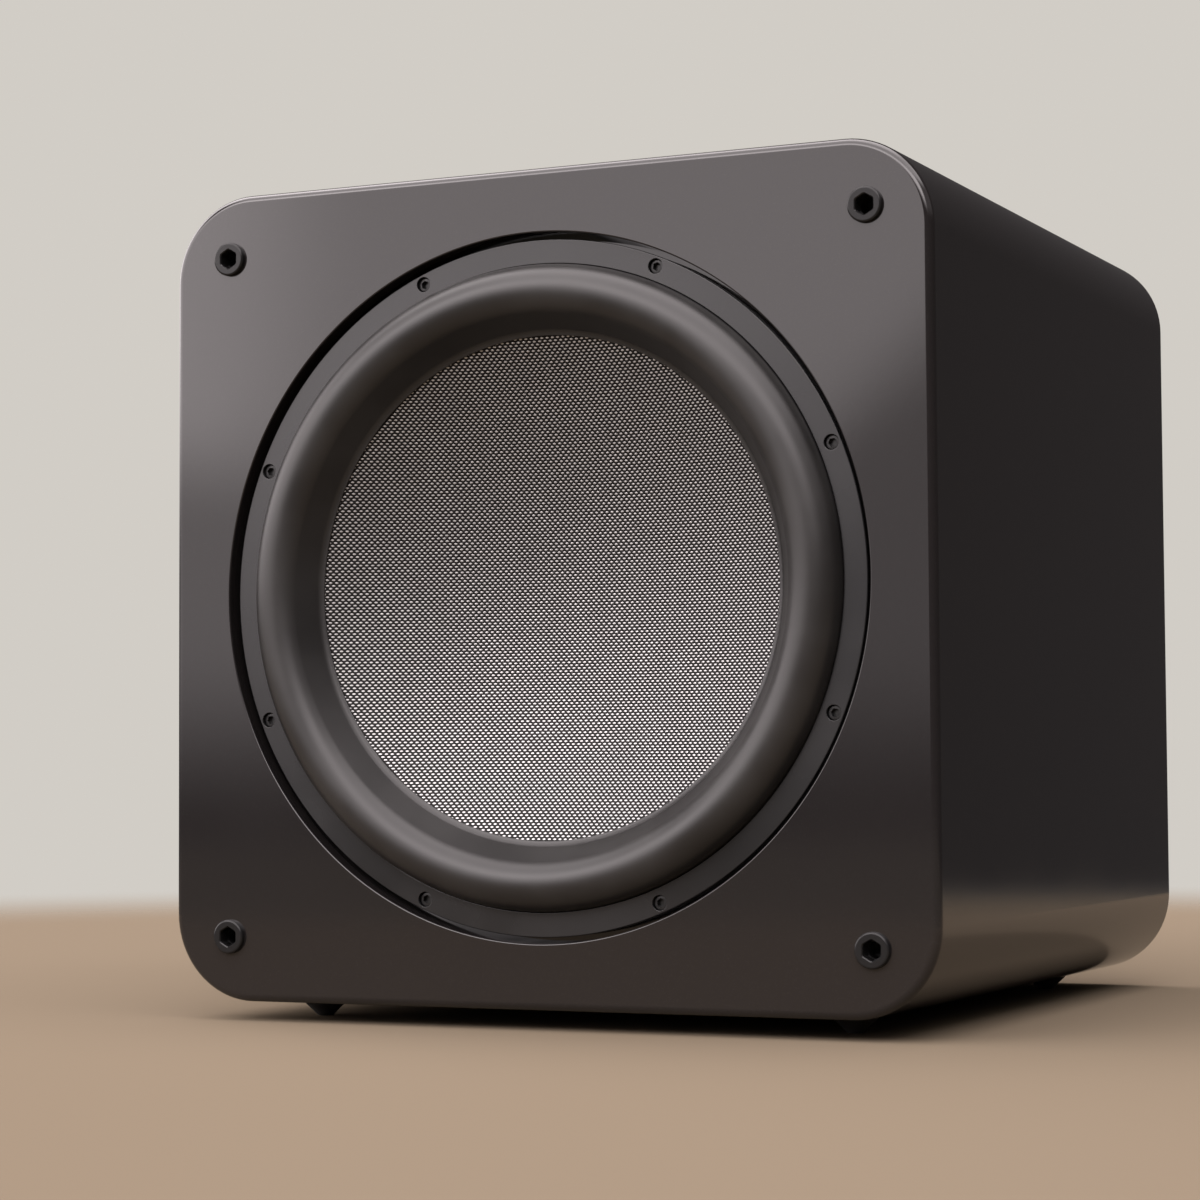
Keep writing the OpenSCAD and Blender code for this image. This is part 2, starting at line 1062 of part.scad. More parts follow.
// Toroidal mains transformer, flat against the tub
module transformer() {
    core = 50;
    edge = 8;
    bore = 18;
    height = transformer_height;
    color(copper_tone)
        on_rear()
            translate([transformer_at[0], transformer_at[1], tub_floor + tub_wall])
                difference() {
                    rotate_extrude() {
                        square([core - edge, height]);
                        translate([0, edge])
                            square([core, height - 2 * edge]);
                        for (z = [edge, height - edge])
                            translate([core - edge, z])
                                circle(r = edge);
                    }
                    bar(bore, -past, height + past);
                }
}

module transformer_bolt() {
    bolt_radius = 3;
    washer_radius = 26;
    washer_top = transformer_height + 2;
    nut_radius = 5.5;
    nut_top = washer_top + 4;
    color(bare_metal)
        on_rear()
            translate([transformer_at[0], transformer_at[1], tub_floor + tub_wall]) {
                bar(bolt_radius, 0, washer_top);
                bar(washer_radius, transformer_height + magnet_glue, washer_top);
                bar(nut_radius, washer_top, nut_top);
            }
}

module capacitors() {
    can_radius = 15;
    can_height = 45;
    color(satin_black)
        on_rear()
            for (u = [-105, -70], v = [-20, -58])
                translate([u, v, 0])
                    bar(can_radius, main_board_top, main_board_top + can_height);
}

module output_transistors() {
    body = [16, 20];
    thickness = 5;
    color(dark_metal)
        on_rear()
            for (u = [-105, -35, 35, 105])
                translate([u, sink_v, 0])
                    block(
                        body[0], body[1], -plate_thickness - thickness, -plate_thickness
                    );
}

module input_board() {
    color(board_green)
        on_rear()
            translate([0, input_board_v, 0])
                block(
                    input_board_w, input_board_h,
                    input_board_top - board_thickness, input_board_top
                );
}

// Potentiometer bodies, each with the bush its shaft turns in
module pot_bodies() {
    side = 17;
    body_top = -9;
    bush_top = 0.4;
    color(bare_metal)
        on_rear()
            at_spots(knob_spots)
                difference() {
                    union() {
                        block(side, side, input_board_top, body_top);
                        bar(bush_radius, body_top - sink_in, bush_top);
                    }
                    bar(bush_bore, shaft_start - opening_gap, past);
                }
}

module control_knob(u) {
    skirt = 1.2;
    grip_radius = knob_radius - 1.2;
    top_edge = 1;
    shaft_fit = 0.02;
    pointer = [1.2, 6];
    pointer_in = 3;
    pointer_depth = 0.6;
    flutes = 24;
    flute_radius = 0.45;
    flute_end = knob_height - 1.5;
    color(satin_black)
        on_rear()
            translate([u, control_v, knob_base])
                difference() {
                    union() {
                        bar(knob_radius, 0, skirt);
                        rotate_extrude()
                            eased_half(grip_radius, knob_height, top_edge);
                    }
                    bar(shaft_radius + shaft_fit, -past, knob_height - knob_roof);
                    translate([0, knob_radius - pointer_in, knob_height])
                        block(pointer[0], pointer[1], -pointer_depth, past);
                    for (k = [0:flutes - 1])
                        rotate([0, 0, k * 360 / flutes])
                            translate([grip_radius, 0, 0])
                                bar(flute_radius, skirt, flute_end, $fn = 16);
                }
}

module control_shaft(u) {
    color(bare_metal)
        on_rear()
            translate([u, control_v, 0])
                bar(
                    shaft_radius, shaft_start,
                    knob_base + knob_height - knob_roof - shaft_end_gap
                );
}

module volume_knob() {
    control_knob(volume_u);
}

module volume_shaft() {
    control_shaft(volume_u);
}

module lowpass_knob() {
    control_knob(lowpass_u);
}

module lowpass_shaft() {
    control_shaft(lowpass_u);
}

module phase_knob() {
    control_knob(phase_u);
}

module phase_shaft() {
    control_shaft(phase_u);
}

// Three-pole sockets with a square flange
module xlr_jacks() {
    flange = [26, 31];
    flange_corner = 3;
    flange_thickness = 1.6;
    body_end = -15;
    groove = [9.4, 7.6];
    pin_circle = 4;
    pin_hole = 1.25;
    hole_end = -12;
    over = flange_thickness + past;
    color(satin_black)
        on_rear()
            at_spots(xlr_spots)
                difference() {
                    union() {
                        rounded_plate(
                            flange[0], flange[1], flange_corner, 0, flange_thickness
                        );
                        bar(xlr_radius, body_end, past);
                    }
                    ring(groove[0], groove[1], hole_end, over);
                    for (a = [90, 210, 330])
                        rotate([0, 0, a])
                            translate([pin_circle, 0, 0])
                                bar(pin_hole, hole_end, over);
                }
}

module rca_jacks() {
    nut_top = 1.6;
    neck_end = -12;
    barrel_top = 8.6;
    pin_hole = 1.6;
    hole_end = -8;
    color(brass_tone)
        on_rear()
            at_spots(rca_spots)
                difference() {
                    union() {
                        bar(rca_nut, 0, nut_top);
                        bar(rca_neck, neck_end, sink_in);
                        bar(rca_barrel, past, barrel_top);
                    }
                    bar(pin_hole, hole_end, barrel_top + past);
                }
}

// Mains inlet with a drawer for its fuse under the socket
module mains_inlet() {
    flange_corner = 4;
    flange_thickness = 2;
    bevel = 5;
    fit = 0.3;
    over = flange_thickness + past;
    color(satin_black)
        on_rear()
            translate([inlet_u, mains_v, 0])
                difference() {
                    union() {
                        rounded_plate(
                            inlet_flange_w, inlet_flange_h, flange_corner,
                            0, flange_thickness
                        );
                        block(inlet_w, inlet_h, -inlet_depth, past);
                    }
                    translate([0, socket_v, -socket_cavity])
                        linear_extrude(height = socket_cavity + over)
                            polygon([
                                [-socket_w / 2, -socket_h / 2],
                                [socket_w / 2, -socket_h / 2],
                                [socket_w / 2, socket_h / 2 - bevel],
                                [socket_w / 2 - bevel, socket_h / 2],
                                [-socket_w / 2 + bevel, socket_h / 2],
                                [-socket_w / 2, socket_h / 2 - bevel]
                            ]);
                    translate([0, drawer_v, 0])
                        block(
                            drawer_w + fit, drawer_h + fit, -drawer_depth - past, over
                        );
                }
}

module inlet_pins() {
    blade = [2, 4];
    tip = -3;
    color(bare_metal)
        on_rear()
            translate([inlet_u, mains_v + socket_v, 0])
                at_spots([[-7, -2], [7, -2], [0, 2]])
                    block(blade[0], blade[1], -socket_cavity, tip);
}

module fuse_drawer() {
    top = 1.4;
    pocket = [20.6, 7.4];
    pocket_ends = [-12, -6.6];
    grip = [8, 2.4];
    grip_floor = 0.4;
    color(satin_black)
        on_rear()
            translate([inlet_u, mains_v + drawer_v, 0])
                difference() {
                    block(drawer_w, drawer_h, -drawer_depth, top);
                    translate([0, 1, 0])
                        block(pocket[0], pocket[1], pocket_ends[0], pocket_ends[1]);
                    translate([0, drawer_h / 2, 0])
                        block(grip[0], grip[1], grip_floor, top + past);
                }
}

module fuse() {
    depth = 9.3;
    length = 20;
    radius = 2.5;
    color(bare_metal)
        on_rear()
            translate([inlet_u, mains_v + drawer_v, -depth])
                rotate([0, 90, 0])
                    cylinder(r = radius, h = length, center = true);
}

module rocker_bezel() {
    flange = 3;
    flange_corner = 2;
    flange_thickness = 1.6;
    body_end = -17;
    well_end = -12;
    well = [rocker_w + 0.4, rocker_h + 1];
    color(satin_black)
        on_rear()
            translate([rocker_u, mains_v, 0])
                difference() {
                    union() {
                        rounded_plate(
                            rocker_w + 2 * flange, rocker_h + 2 * flange,
                            flange_corner, 0, flange_thickness
                        );
                        block(
                            rocker_w + 2 * bezel_wall, rocker_h + 2 * bezel_wall,
                            body_end, past
                        );
                    }
                    block(well[0], well[1], well_end, flange_thickness + past);
                }
}

// The rocker's paddle, tilted to the side it rests on
module power_rocker() {
    arm = 22;
    dish = 2.2;
    half_depth = 4;
    reach = rocker_h / 2;
    color(satin_black)
        on_rear()
            translate([rocker_u, mains_v, rocker_pivot])
                rotate([rocker_tilt, 0, 0])
                    difference() {
                        intersection() {
                            block(rocker_w, 2 * reach, -half_depth, half_depth);
                            rotate([0, 90, 0])
                                cylinder(r = reach, h = rocker_w, center = true);
                        }
                        translate([0, 0, arm + dish])
                            rotate([0, 90, 0])
                                cylinder(r = arm, h = rocker_w + past, center = true);
                    }
}

module switch_housing() {
    body = [20, 9];
    body_end = -11;
    slot_end = -8;
    color(bare_metal)
        on_rear()
            translate([switch_u, control_v, 0])
                difference() {
                    block(body[0], body[1], body_end, -plate_thickness);
                    block(switch_slot + block_gap, switch_slot_h, slot_end, 0);
                }
}

// Slide switch lever, resting at one end of its travel
module mode_slider() {
    lever = [5, 4];
    foot = -7.6;
    tip = 2.2;
    color(satin_black)
        on_rear()
            translate([switch_u - switch_travel / 2, control_v, 0])
                block(lever[0], lever[1], foot, tip);
}

module status_led() {
    shoulder = 0.3;
    foot = -12;
    color(led_blue)
        on_rear()
            translate([led_u, control_v, 0]) {
                bar(led_radius, foot, shoulder);
                translate([0, 0, shoulder])
                    sphere(r = led_radius);
            }
}

cabinet_shell();
front_baffle();
rear_panel();
magnet_brace();
rear_brace();
damping_pads();
grille_sockets();
feet();
foot_studs();
foot_inserts();
basket();
driver_gasket();
trim_ring();
driver_screws();
driver_inserts();
surround();
cone_body();
cone_dish();
coil_former();
voice_coil();
spider();
tinsel_leads();
terminal_block();
top_plate();
magnets();
pole_yoke();
shorting_ring();
magnet_boot();
speaker_cable();
amp_plate();
amp_gasket();
amp_screws();
amp_tub();
heat_sink();
main_board();
board_standoffs();
transformer();
transformer_bolt();
capacitors();
output_transistors();
input_board();
pot_bodies();
volume_knob();
volume_shaft();
lowpass_knob();
lowpass_shaft();
phase_knob();
phase_shaft();
xlr_jacks();
rca_jacks();
mains_inlet();
inlet_pins();
fuse_drawer();
fuse();
rocker_bezel();
power_rocker();
switch_housing();
mode_slider();
status_led();
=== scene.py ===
"""Looks of the powered subwoofer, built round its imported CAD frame.

Metres throughout. The row frame has +Z up, the front facing -Y and +X to the right of
someone who faces the front. Shapes on the front are drawn in the driver's frame, where a
height counts outwards from the front face, and shapes on the back in the amplifier's frame,
where x runs to the right as seen from behind.
"""

import json
import math

import bmesh
import bpy
import numpy as np
from mathutils import Matrix, Vector
from mathutils.geometry import tessellate_polygon


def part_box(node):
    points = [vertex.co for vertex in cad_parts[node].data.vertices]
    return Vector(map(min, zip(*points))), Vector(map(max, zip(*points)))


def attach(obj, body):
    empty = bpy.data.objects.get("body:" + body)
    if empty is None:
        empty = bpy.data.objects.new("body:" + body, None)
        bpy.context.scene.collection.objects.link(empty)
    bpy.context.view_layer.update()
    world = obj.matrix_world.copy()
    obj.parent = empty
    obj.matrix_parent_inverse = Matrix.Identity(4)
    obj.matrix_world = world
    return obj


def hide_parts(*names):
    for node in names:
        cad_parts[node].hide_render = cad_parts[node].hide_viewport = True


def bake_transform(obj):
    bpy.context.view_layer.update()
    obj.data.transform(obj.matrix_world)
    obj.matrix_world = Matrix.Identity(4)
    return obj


MM = 0.001

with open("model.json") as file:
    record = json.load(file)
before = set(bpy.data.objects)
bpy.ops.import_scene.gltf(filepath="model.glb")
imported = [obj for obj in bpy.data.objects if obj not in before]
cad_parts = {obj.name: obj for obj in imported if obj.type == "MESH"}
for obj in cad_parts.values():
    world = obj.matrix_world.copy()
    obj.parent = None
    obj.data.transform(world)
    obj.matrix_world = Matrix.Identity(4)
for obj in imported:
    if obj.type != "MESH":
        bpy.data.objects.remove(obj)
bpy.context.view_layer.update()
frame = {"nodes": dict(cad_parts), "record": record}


def middle(node):
    low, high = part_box(node)
    return (low + high) / 2


def extent(node):
    low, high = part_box(node)
    return high - low


# Places and sizes that the frame gives
FRONT_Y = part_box("front_baffle")[0].y
REAR_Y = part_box("rear_panel")[1].y
CENTRE_Z = middle("front_baffle").z
HALF = extent("front_baffle").x / 2
FIT_GAP = 0.1 * MM
INSIDE_HALF = extent("magnet_brace").x / 2 + FIT_GAP
BAFFLE_BACK = FRONT_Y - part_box("cabinet_shell")[0].y
DEPTH = REAR_Y - FRONT_Y
FLANGE_R = extent("trim_ring").x / 2
RING_TOP = FRONT_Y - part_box("trim_ring")[0].y
RING_UNDER = FRONT_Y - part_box("trim_ring")[1].y
LAND_R = extent("surround").x / 2
DISH_R = extent("cone_dish").x / 2
SPIDER_R = extent("spider").x / 2
SOCKET_R = 9.6 * MM
SOCKET_AT = extent("grille_sockets").x / 2 - SOCKET_R
FOOT_R = 15 * MM
FOOT_X = extent("feet").x / 2 - FOOT_R
FOOT_Y = extent("feet").y / 2 - FOOT_R
FOOT_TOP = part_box("feet")[1].z

# Sizes of the design that a node's box doesn't tell
CORNER_R = 49 * MM
FRONT_EDGE_R = 4.5 * MM
REAR_EDGE_R = 3 * MM
RECESS_R = 194 * MM
RECESS_FLOOR = -18 * MM
RECESS_EDGE = 0.8 * MM
DRIVER_HOLE_R = 175.6 * MM
TONGUE_LENGTH = 6 * MM
ROLL_OUTER = 177 * MM
ROLL_R = 15 * MM
SCREW_CIRCLE = 185.2 * MM
SCREW_COUNT = 8
DISH_CURVE = 350 * MM
DISH_CENTRE = 308 * MM

DRIVER = Matrix(((1, 0, 0, 0), (0, 0, -1, FRONT_Y), (0, 1, 0, CENTRE_Z), (0, 0, 0, 1)))
AMPLIFIER = Matrix(((-1, 0, 0, 0), (0, 0, 1, REAR_Y), (0, 1, 0, CENTRE_Z), (0, 0, 0, 1)))
ROW = Matrix.Identity(4)

CORNERS = [(sx, sy) for sx in (-1, 1) for sy in (-1, 1)]


# Outlines ----------------------------------------------------------------


def circle(radius, steps, centre=(0, 0)):
    turns = [2 * math.pi * k / steps for k in range(steps)]
    return [(centre[0] + radius * math.cos(a), centre[1] + radius * math.sin(a)) for a in turns]


def polygon(radius, sides, per_side, centre=(0, 0), turn=0.0):
    """A regular polygon with per_side points on each side."""
    tips = circle(radius, sides)
    points = []
    for k in range(sides):
        (ax, ay), (bx, by) = tips[k], tips[(k + 1) % sides]
        for j in range(per_side):
            t = j / per_side
            points.append((ax + (bx - ax) * t, ay + (by - ay) * t))
    c, s = math.cos(turn), math.sin(turn)
    return [(centre[0] + x * c - y * s, centre[1] + x * s + y * c) for x, y in points]


CORNER_STEPS = 20


def rounded_square(half, radius):
    """A square with rounded corners, counterclockwise from the right-hand side."""
    points = []
    for quarter, (sx, sy) in enumerate(((1, 1), (-1, 1), (-1, -1), (1, -1))):
        x, y = sx * (half - radius), sy * (half - radius)
        for k in range(CORNER_STEPS + 1):
            a = math.pi / 2 * (quarter + k / CORNER_STEPS)
            points.append((x + radius * math.cos(a), y + radius * math.sin(a)))
    return points


def arc(x, y, radius, start, end, steps):
    """Points round an arc; the angles are in degrees."""
    angles = [math.radians(start + (end - start) * k / steps) for k in range(steps + 1)]
    return [(x + radius * math.cos(a), y + radius * math.sin(a)) for a in angles]


# Meshes ------------------------------------------------------------------


class Shape:
    """Rings of points joined into closed skins, drawn in a local frame."""

    def __init__(self):
        self.points = []
        self.faces = []
        self.flat = set()

    def ring(self, outline, height):
        first = len(self.points)
        self.points += [(x, y, height) for x, y in outline]
        return list(range(first, len(self.points)))

    def join(self, a, b):
        for k in range(len(a)):
            after = (k + 1) % len(a)
            self.faces.append((a[k], a[after], b[after], b[k]))

    def stack(self, rings, closed=False):
        """Joins each ring of (outline, height) to the next; returns the first and last."""
        made = [self.ring(outline, height) for outline, height in rings]
        for a, b in zip(made, made[1:]):
            self.join(a, b)
        if closed:
            self.join(made[-1], made[0])
        return made[0], made[-1]

    def fill(self, *loops):
        """Fills the flat region inside the first loop and outside the others."""
        order = [i for loop in loops for i in loop]
        outlines = [[Vector(self.points[i]) for i in loop] for loop in loops]
        for triangle in tessellate_polygon(outlines):
            self.flat.add(len(self.faces))
            self.faces.append(tuple(order[k] for k in triangle))

    def turned(self, profile, steps, centre=(0, 0), closed=False):
        """Turns a profile of (radius, height) about an upright axis through centre."""
        return self.stack([(circle(r, steps, centre), h) for r, h in profile], closed)

    def box(self, width, height, low, high, centre=(0, 0), turn=0.0):
        """A block between two heights."""
        c, s = math.cos(turn), math.sin(turn)
        x, y = width / 2, height / 2
        raw = [(-x, -y), (x, -y), (x, y), (-x, y)]
        outline = [(centre[0] + p * c - q * s, centre[1] + p * s + q * c) for p, q in raw]
        first, last = self.stack([(outline, low), (outline, high)])
        self.fill(first)
        self.fill(last)

    def build(self, name, place, slot, body, material=None, crisp=False, sharp=35):
        """Makes the object, in place, on its body. crisp keeps large flat faces truly flat."""
        mesh = bpy.data.meshes.new(name)
        mesh.from_pydata(self.points, [], self.faces)
        mesh.transform(place)
        bm = bmesh.new()
        bm.from_mesh(mesh)
        bmesh.ops.recalc_face_normals(bm, faces=bm.faces)
        bm.to_mesh(mesh)
        bm.free()
        mesh.shade_smooth()
        mesh.set_sharp_from_angle(angle=math.radians(sharp))
        if crisp:
            keep_flats_flat(mesh, self.flat, math.radians(sharp))
        mesh.materials.append(material or SLOTS[slot])
        piece = bpy.data.objects.new(name, mesh)
        bpy.context.scene.collection.objects.link(piece)
        if body:
            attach(piece, body)
        return piece


LONG_SIDE = 10 * MM


def keep_flats_flat(mesh, filled, sharp):
    """Gives a flat face's corners its own normal, which the curved strips beside it share."""
    normals = [p.normal.copy() for p in mesh.polygons]
    around = [[] for _ in mesh.vertices]
    flat = []
    for p in mesh.polygons:
        corners = [mesh.vertices[i].co for i in p.vertices]
        shortest = min((a - b).length for a, b in zip(corners, corners[1:] + corners[:1]))
        flat.append(p.index in filled or shortest > LONG_SIDE)
        for i in p.vertices:
            around[i].append(p.index)
    corner_normals = []
    limit = math.cos(sharp)
    for p in mesh.polygons:
        for i in p.vertices:
            near = [k for k in around[i] if normals[k].dot(normals[p.index]) > limit]
            flats = [k for k in near if flat[k]]
            total = Vector((0, 0, 0))
            for k in flats or near:
                total += normals[k] * (1 if flats else mesh.polygons[k].area)
            corner_normals.append(total.normalized())
    mesh.normals_split_custom_set(corner_normals)


# Materials ---------------------------------------------------------------


class Finish:
    """A node material, with short names for the nodes it uses."""

    def __init__(self, name):
        self.material = bpy.data.materials.new(name)
        self.material.use_nodes = True
        self.tree = self.material.node_tree
        self.tree.nodes.clear()
        self.place = self.node("TexCoord").outputs["Object"]

    def node(self, kind, **settings):
        made = self.tree.nodes.new("ShaderNode" + kind)
        for key, value in settings.items():
            setattr(made, key, value)
        return made

    def feed(self, value, socket):
        if isinstance(value, bpy.types.NodeSocket):
            self.tree.links.new(value, socket)
        else:
            socket.default_value = value

    def math(self, operation, *values):
        made = self.node("Math", operation=operation)
        for value, socket in zip(values, made.inputs):
            self.feed(value, socket)
        return made.outputs[0]

    def mix(self, share, a, b):
        """A colour from a to b; the colours are linear RGB triples or sockets."""
        made = self.node("Mix", data_type="RGBA")
        self.feed(share, made.inputs[0])
        for value, socket in ((a, made.inputs[6]), (b, made.inputs[7])):
            self.feed((*value, 1.0) if isinstance(value, tuple) else value, socket)
        return made.outputs[2]

    def span(self, value, low, high, to_low=0.0, to_high=1.0, kind="SMOOTHSTEP"):
        made = self.node("MapRange", interpolation_type=kind)
        for key, given in enumerate((value, low, high, to_low, to_high)):
            self.feed(given, made.inputs[key])
        return made.outputs[0]

    def axes(self, vector=None):
        """The three components of a vector, or of the place on the object."""
        split = self.node("SeparateXYZ")
        self.feed(vector or self.place, split.inputs[0])
        return split.outputs

    def scaled(self, x, y, z):
        made = self.node("VectorMath", operation="MULTIPLY")
        self.feed(self.place, made.inputs[0])
        made.inputs[1].default_value = (x, y, z)
        return made.outputs[0]

    def noise(self, scale, detail=3.0, vector=None):
        made = self.node("TexNoise")
        self.feed(vector or self.place, made.inputs["Vector"])
        made.inputs["Scale"].default_value = scale
        made.inputs["Detail"].default_value = detail
        return made.outputs[0]

    def bump(self, height, depth, normal=None):
        """A bump whose height runs from 0 to 1 over depth metres."""
        made = self.node("Bump")
        self.feed(height, made.inputs["Height"])
        made.inputs["Strength"].default_value = 1.0
        made.inputs["Distance"].default_value = depth
        if normal:
            self.feed(normal, made.inputs["Normal"])
        return made.outputs[0]

    def surface(self, **inputs):
        """Ends the material in one Principled node; input names use _ for a space."""
        made = self.node("BsdfPrincipled")
        for key, value in inputs.items():
            socket = made.inputs[key.replace("_", " ")]
            self.feed((*value, 1.0) if isinstance(value, tuple) else value, socket)
        out = self.node("OutputMaterial")
        self.tree.links.new(made.outputs[0], out.inputs[0])
        return self.material


def grained(name, colour, roughness, grain=900.0, depth=0.02 * MM, metal=0.0, spread=0.15, **more):
    """A plain finish with grain, a little dust in its colour and uneven gloss."""
    look = Finish(name)
    cloud = look.noise(14.0, 4.0)
    fine = look.noise(grain, 2.0)
    dark = tuple(c * (1 - spread) for c in colour)
    light = tuple(min(1.0, c * (1 + spread)) for c in colour)
    tone = look.mix(look.span(cloud, 0.35, 0.65), dark, light)
    gloss = look.span(cloud, 0.3, 0.7, roughness - 0.04, roughness + 0.04, "LINEAR")
    return look.surface(
        Base_Color=tone,
        Roughness=gloss,
        Metallic=metal,
        Normal=look.bump(fine, depth),
        **more,
    )


# Where the top's reflection is held back: how far a normal points up, and how far a glance
# has turned from straight on, each from none to full
TOP_NORMAL = (0.93, 0.995)
TOP_GLANCE = (0.2, 0.55)


def lacquer():
    """Black piano lacquer: deep, with a faint waviness and a few fine dust specks.

    On the flat top its reflection doesn't grow at a glancing angle, where the window beside
    it would turn the whole top white.
    """
    look = Finish("piano_lacquer")
    wave = look.noise(9.0, 1.0)
    peel = look.noise(260.0, 1.0)
    speck = look.span(look.noise(2600.0, 0.0), 0.76, 0.8)
    normal = look.bump(peel, 0.002 * MM, look.bump(wave, 0.012 * MM))
    upwards = look.axes(look.node("NewGeometry").outputs["Normal"])[2]
    on_top = look.span(upwards, *TOP_NORMAL)
    glance = look.node("LayerWeight").outputs["Facing"]
    calm = look.math("MULTIPLY", on_top, look.span(glance, *TOP_GLANCE))
    return look.surface(
        Base_Color=look.mix(speck, (0.011, 0.0098, 0.0098), (0.03, 0.028, 0.027)),
        Roughness=look.span(wave, 0.3, 0.7, 0.05, 0.08, "LINEAR"),
        IOR=1.5,
        Specular_IOR_Level=look.span(calm, 0.0, 1.0, 0.5, 0.003, "LINEAR"),
        Normal=normal,
    )


# The dish's cloth: its yarns' pitch across and upwards
WARP_PITCH = 1.62 * MM
WEFT_PITCH = 1.62 * MM
WAVE_RISE = 0.5
YARN_HEIGHT = 0.6
WEFT_SHARE = 0.3
WARP_SHARE = 0.5


def woven_fibre():
    """Silver weft yarns over and under black warp yarns, under a clear resin."""
    look = Finish("silver_black_weave")
    x, _, z = look.axes()
    across = look.math("DIVIDE", x, WARP_PITCH)
    up = look.math("DIVIDE", look.math("SUBTRACT", z, CENTRE_Z), WEFT_PITCH)
    column = look.math("ROUND", across)
    row = look.math("ROUND", up)

    def yarn(along, own_row, offset, centre_line, share):
        """A yarn along one axis, up at every other crossing: its height and its float's shape."""
        half = look.math("MULTIPLY", look.math("ADD", look.math("ADD", along, own_row), offset), 0.5)
        swing = look.math("COSINE", look.math("MULTIPLY", half, 2 * math.pi))
        side = look.math("DIVIDE", centre_line, share)
        round_top = look.math("SUBTRACT", 1.0, look.math("MULTIPLY", side, side))
        crown = look.math("SQRT", look.math("MAXIMUM", round_top, 0.0))
        height = look.math(
            "ADD",
            look.math("MULTIPLY", swing, WAVE_RISE),
            look.math("MULTIPLY", crown, YARN_HEIGHT),
        )
        return height, look.math("ADD", swing, look.math("MULTIPLY", round_top, 1.3))

    weft, float_shape = yarn(across, row, 0.0, look.math("SUBTRACT", up, row), WEFT_SHARE)
    warp, _ = yarn(up, column, 1.0, look.math("SUBTRACT", across, column), WARP_SHARE)
    silver = look.span(float_shape, 0.83, 1.03)
    top = look.math("MAXIMUM", weft, warp)
    # Painted highlight and shade: the silver float's colour is brightest at its crown and darker
    # towards its ends.
    shade = look.span(float_shape, 0.7, 1.7)
    cloud = look.noise(60.0, 3.0)
    strand = look.noise(1.0, 1.0, look.scaled(900.0, 900.0, 5200.0))
    bright = look.mix(cloud, (0.38, 0.377, 0.375), (0.54, 0.535, 0.53))
    bright = look.mix(look.span(strand, 0.3, 0.7, 0.0, 0.3), bright, (0.2, 0.195, 0.19))
    # Painted shade: the black yarn's colour is darker where the cloth sinks and lighter where it
    # rises.
    deep = look.mix(look.span(top, 0.3, 1.08), (0.003, 0.003, 0.003), (0.009, 0.0085, 0.008))
    lit = look.mix(shade, (0.1, 0.099, 0.098), bright)
    height = look.math("ADD", top, look.math("MULTIPLY", strand, 0.06))
    return look.surface(
        Base_Color=look.mix(silver, deep, lit),
        Metallic=look.math("MULTIPLY", silver, 0.5),
        Roughness=look.span(silver, 0.0, 1.0, 0.45, 0.36, "LINEAR"),
        Normal=look.bump(height, 0.16 * MM),
        Specular_IOR_Level=look.span(silver, 0.0, 1.0, 0.1, 0.5, "LINEAR"),
        Coat_Weight=0.03,
        Coat_Roughness=0.3,
    )


def brushed(name, colour, roughness, direction=(1, 1, 60)):
    """Bare metal with lines drawn along it."""
    look = Finish(name)
    lines = look.noise(28.0, 3.0, look.scaled(*direction))
    cloud = look.noise(25.0, 3.0)
    dark = tuple(c * 0.8 for c in colour)
    return look.surface(
        Base_Color=look.mix(look.math("MULTIPLY", lines, cloud), dark, colour),
        Metallic=1.0,
        Roughness=look.span(lines, 0.3, 0.7, roughness - 0.06, roughness + 0.06, "LINEAR"),
        Normal=look.bump(lines, 0.01 * MM),
    )


def fibreboard():
    look = Finish("raw_fibreboard")
    fibre = look.noise(420.0, 5.0)
    cloud = look.noise(18.0, 3.0)
    tone = look.mix(fibre, (0.42, 0.31, 0.2), (0.62, 0.48, 0.33))
    return look.surface(
        Base_Color=look.mix(look.span(cloud, 0.3, 0.7, 0.0, 0.4), tone, (0.5, 0.38, 0.25)),
        Roughness=0.86,
        Normal=look.bump(fibre, 0.15 * MM),
    )


def open_foam():
    look = Finish("open_foam")
    cells = look.node("TexVoronoi")
    look.feed(look.place, cells.inputs["Vector"])
    cells.inputs["Scale"].default_value = 620.0
    # Painted shade: each pore's hollow is darker than the cell walls round it, following the bump.
    pores = look.span(cells.outputs["Distance"], 0.1, 0.6)
    return look.surface(
        Base_Color=look.mix(pores, (0.035, 0.035, 0.038), (0.17, 0.17, 0.18)),
        Roughness=0.95,
        Normal=look.bump(pores, 0.8 * MM),
    )


def spider_cloth():
    look = Finish("resin_cloth")
    x, _, z = look.axes(look.scaled(1 / (0.9 * MM), 1.0, 1 / (0.9 * MM)))
    waves = [look.math("SINE", look.math("MULTIPLY", k, math.pi)) for k in (x, z)]
    weave = look.math("MULTIPLY", *waves)
    # Painted shade: the cloth's colour is darker where its weave dips and lighter where it rises,
    # following the bump.
    share = look.span(weave, -1.0, 1.0)
    return look.surface(
        Base_Color=look.mix(share, (0.36, 0.25, 0.08), (0.66, 0.5, 0.22)),
        Roughness=0.7,
        Normal=look.bump(share, 0.25 * MM),
    )


def copper_winding():
    look = Finish("copper_winding")
    turn = look.math("FRACT", look.math("DIVIDE", look.axes()[1], 0.5 * MM))
    # Painted shade: the copper's colour is dark in the grooves between the turns and bright on each
    # turn's crown, following the bump.
    wire = look.math("SINE", look.math("MULTIPLY", turn, math.pi))
    return look.surface(
        Base_Color=look.mix(wire, (0.2, 0.06, 0.02), (0.72, 0.34, 0.16)),
        Metallic=0.9,
        Roughness=0.32,
        Normal=look.bump(wire, 0.2 * MM),
    )


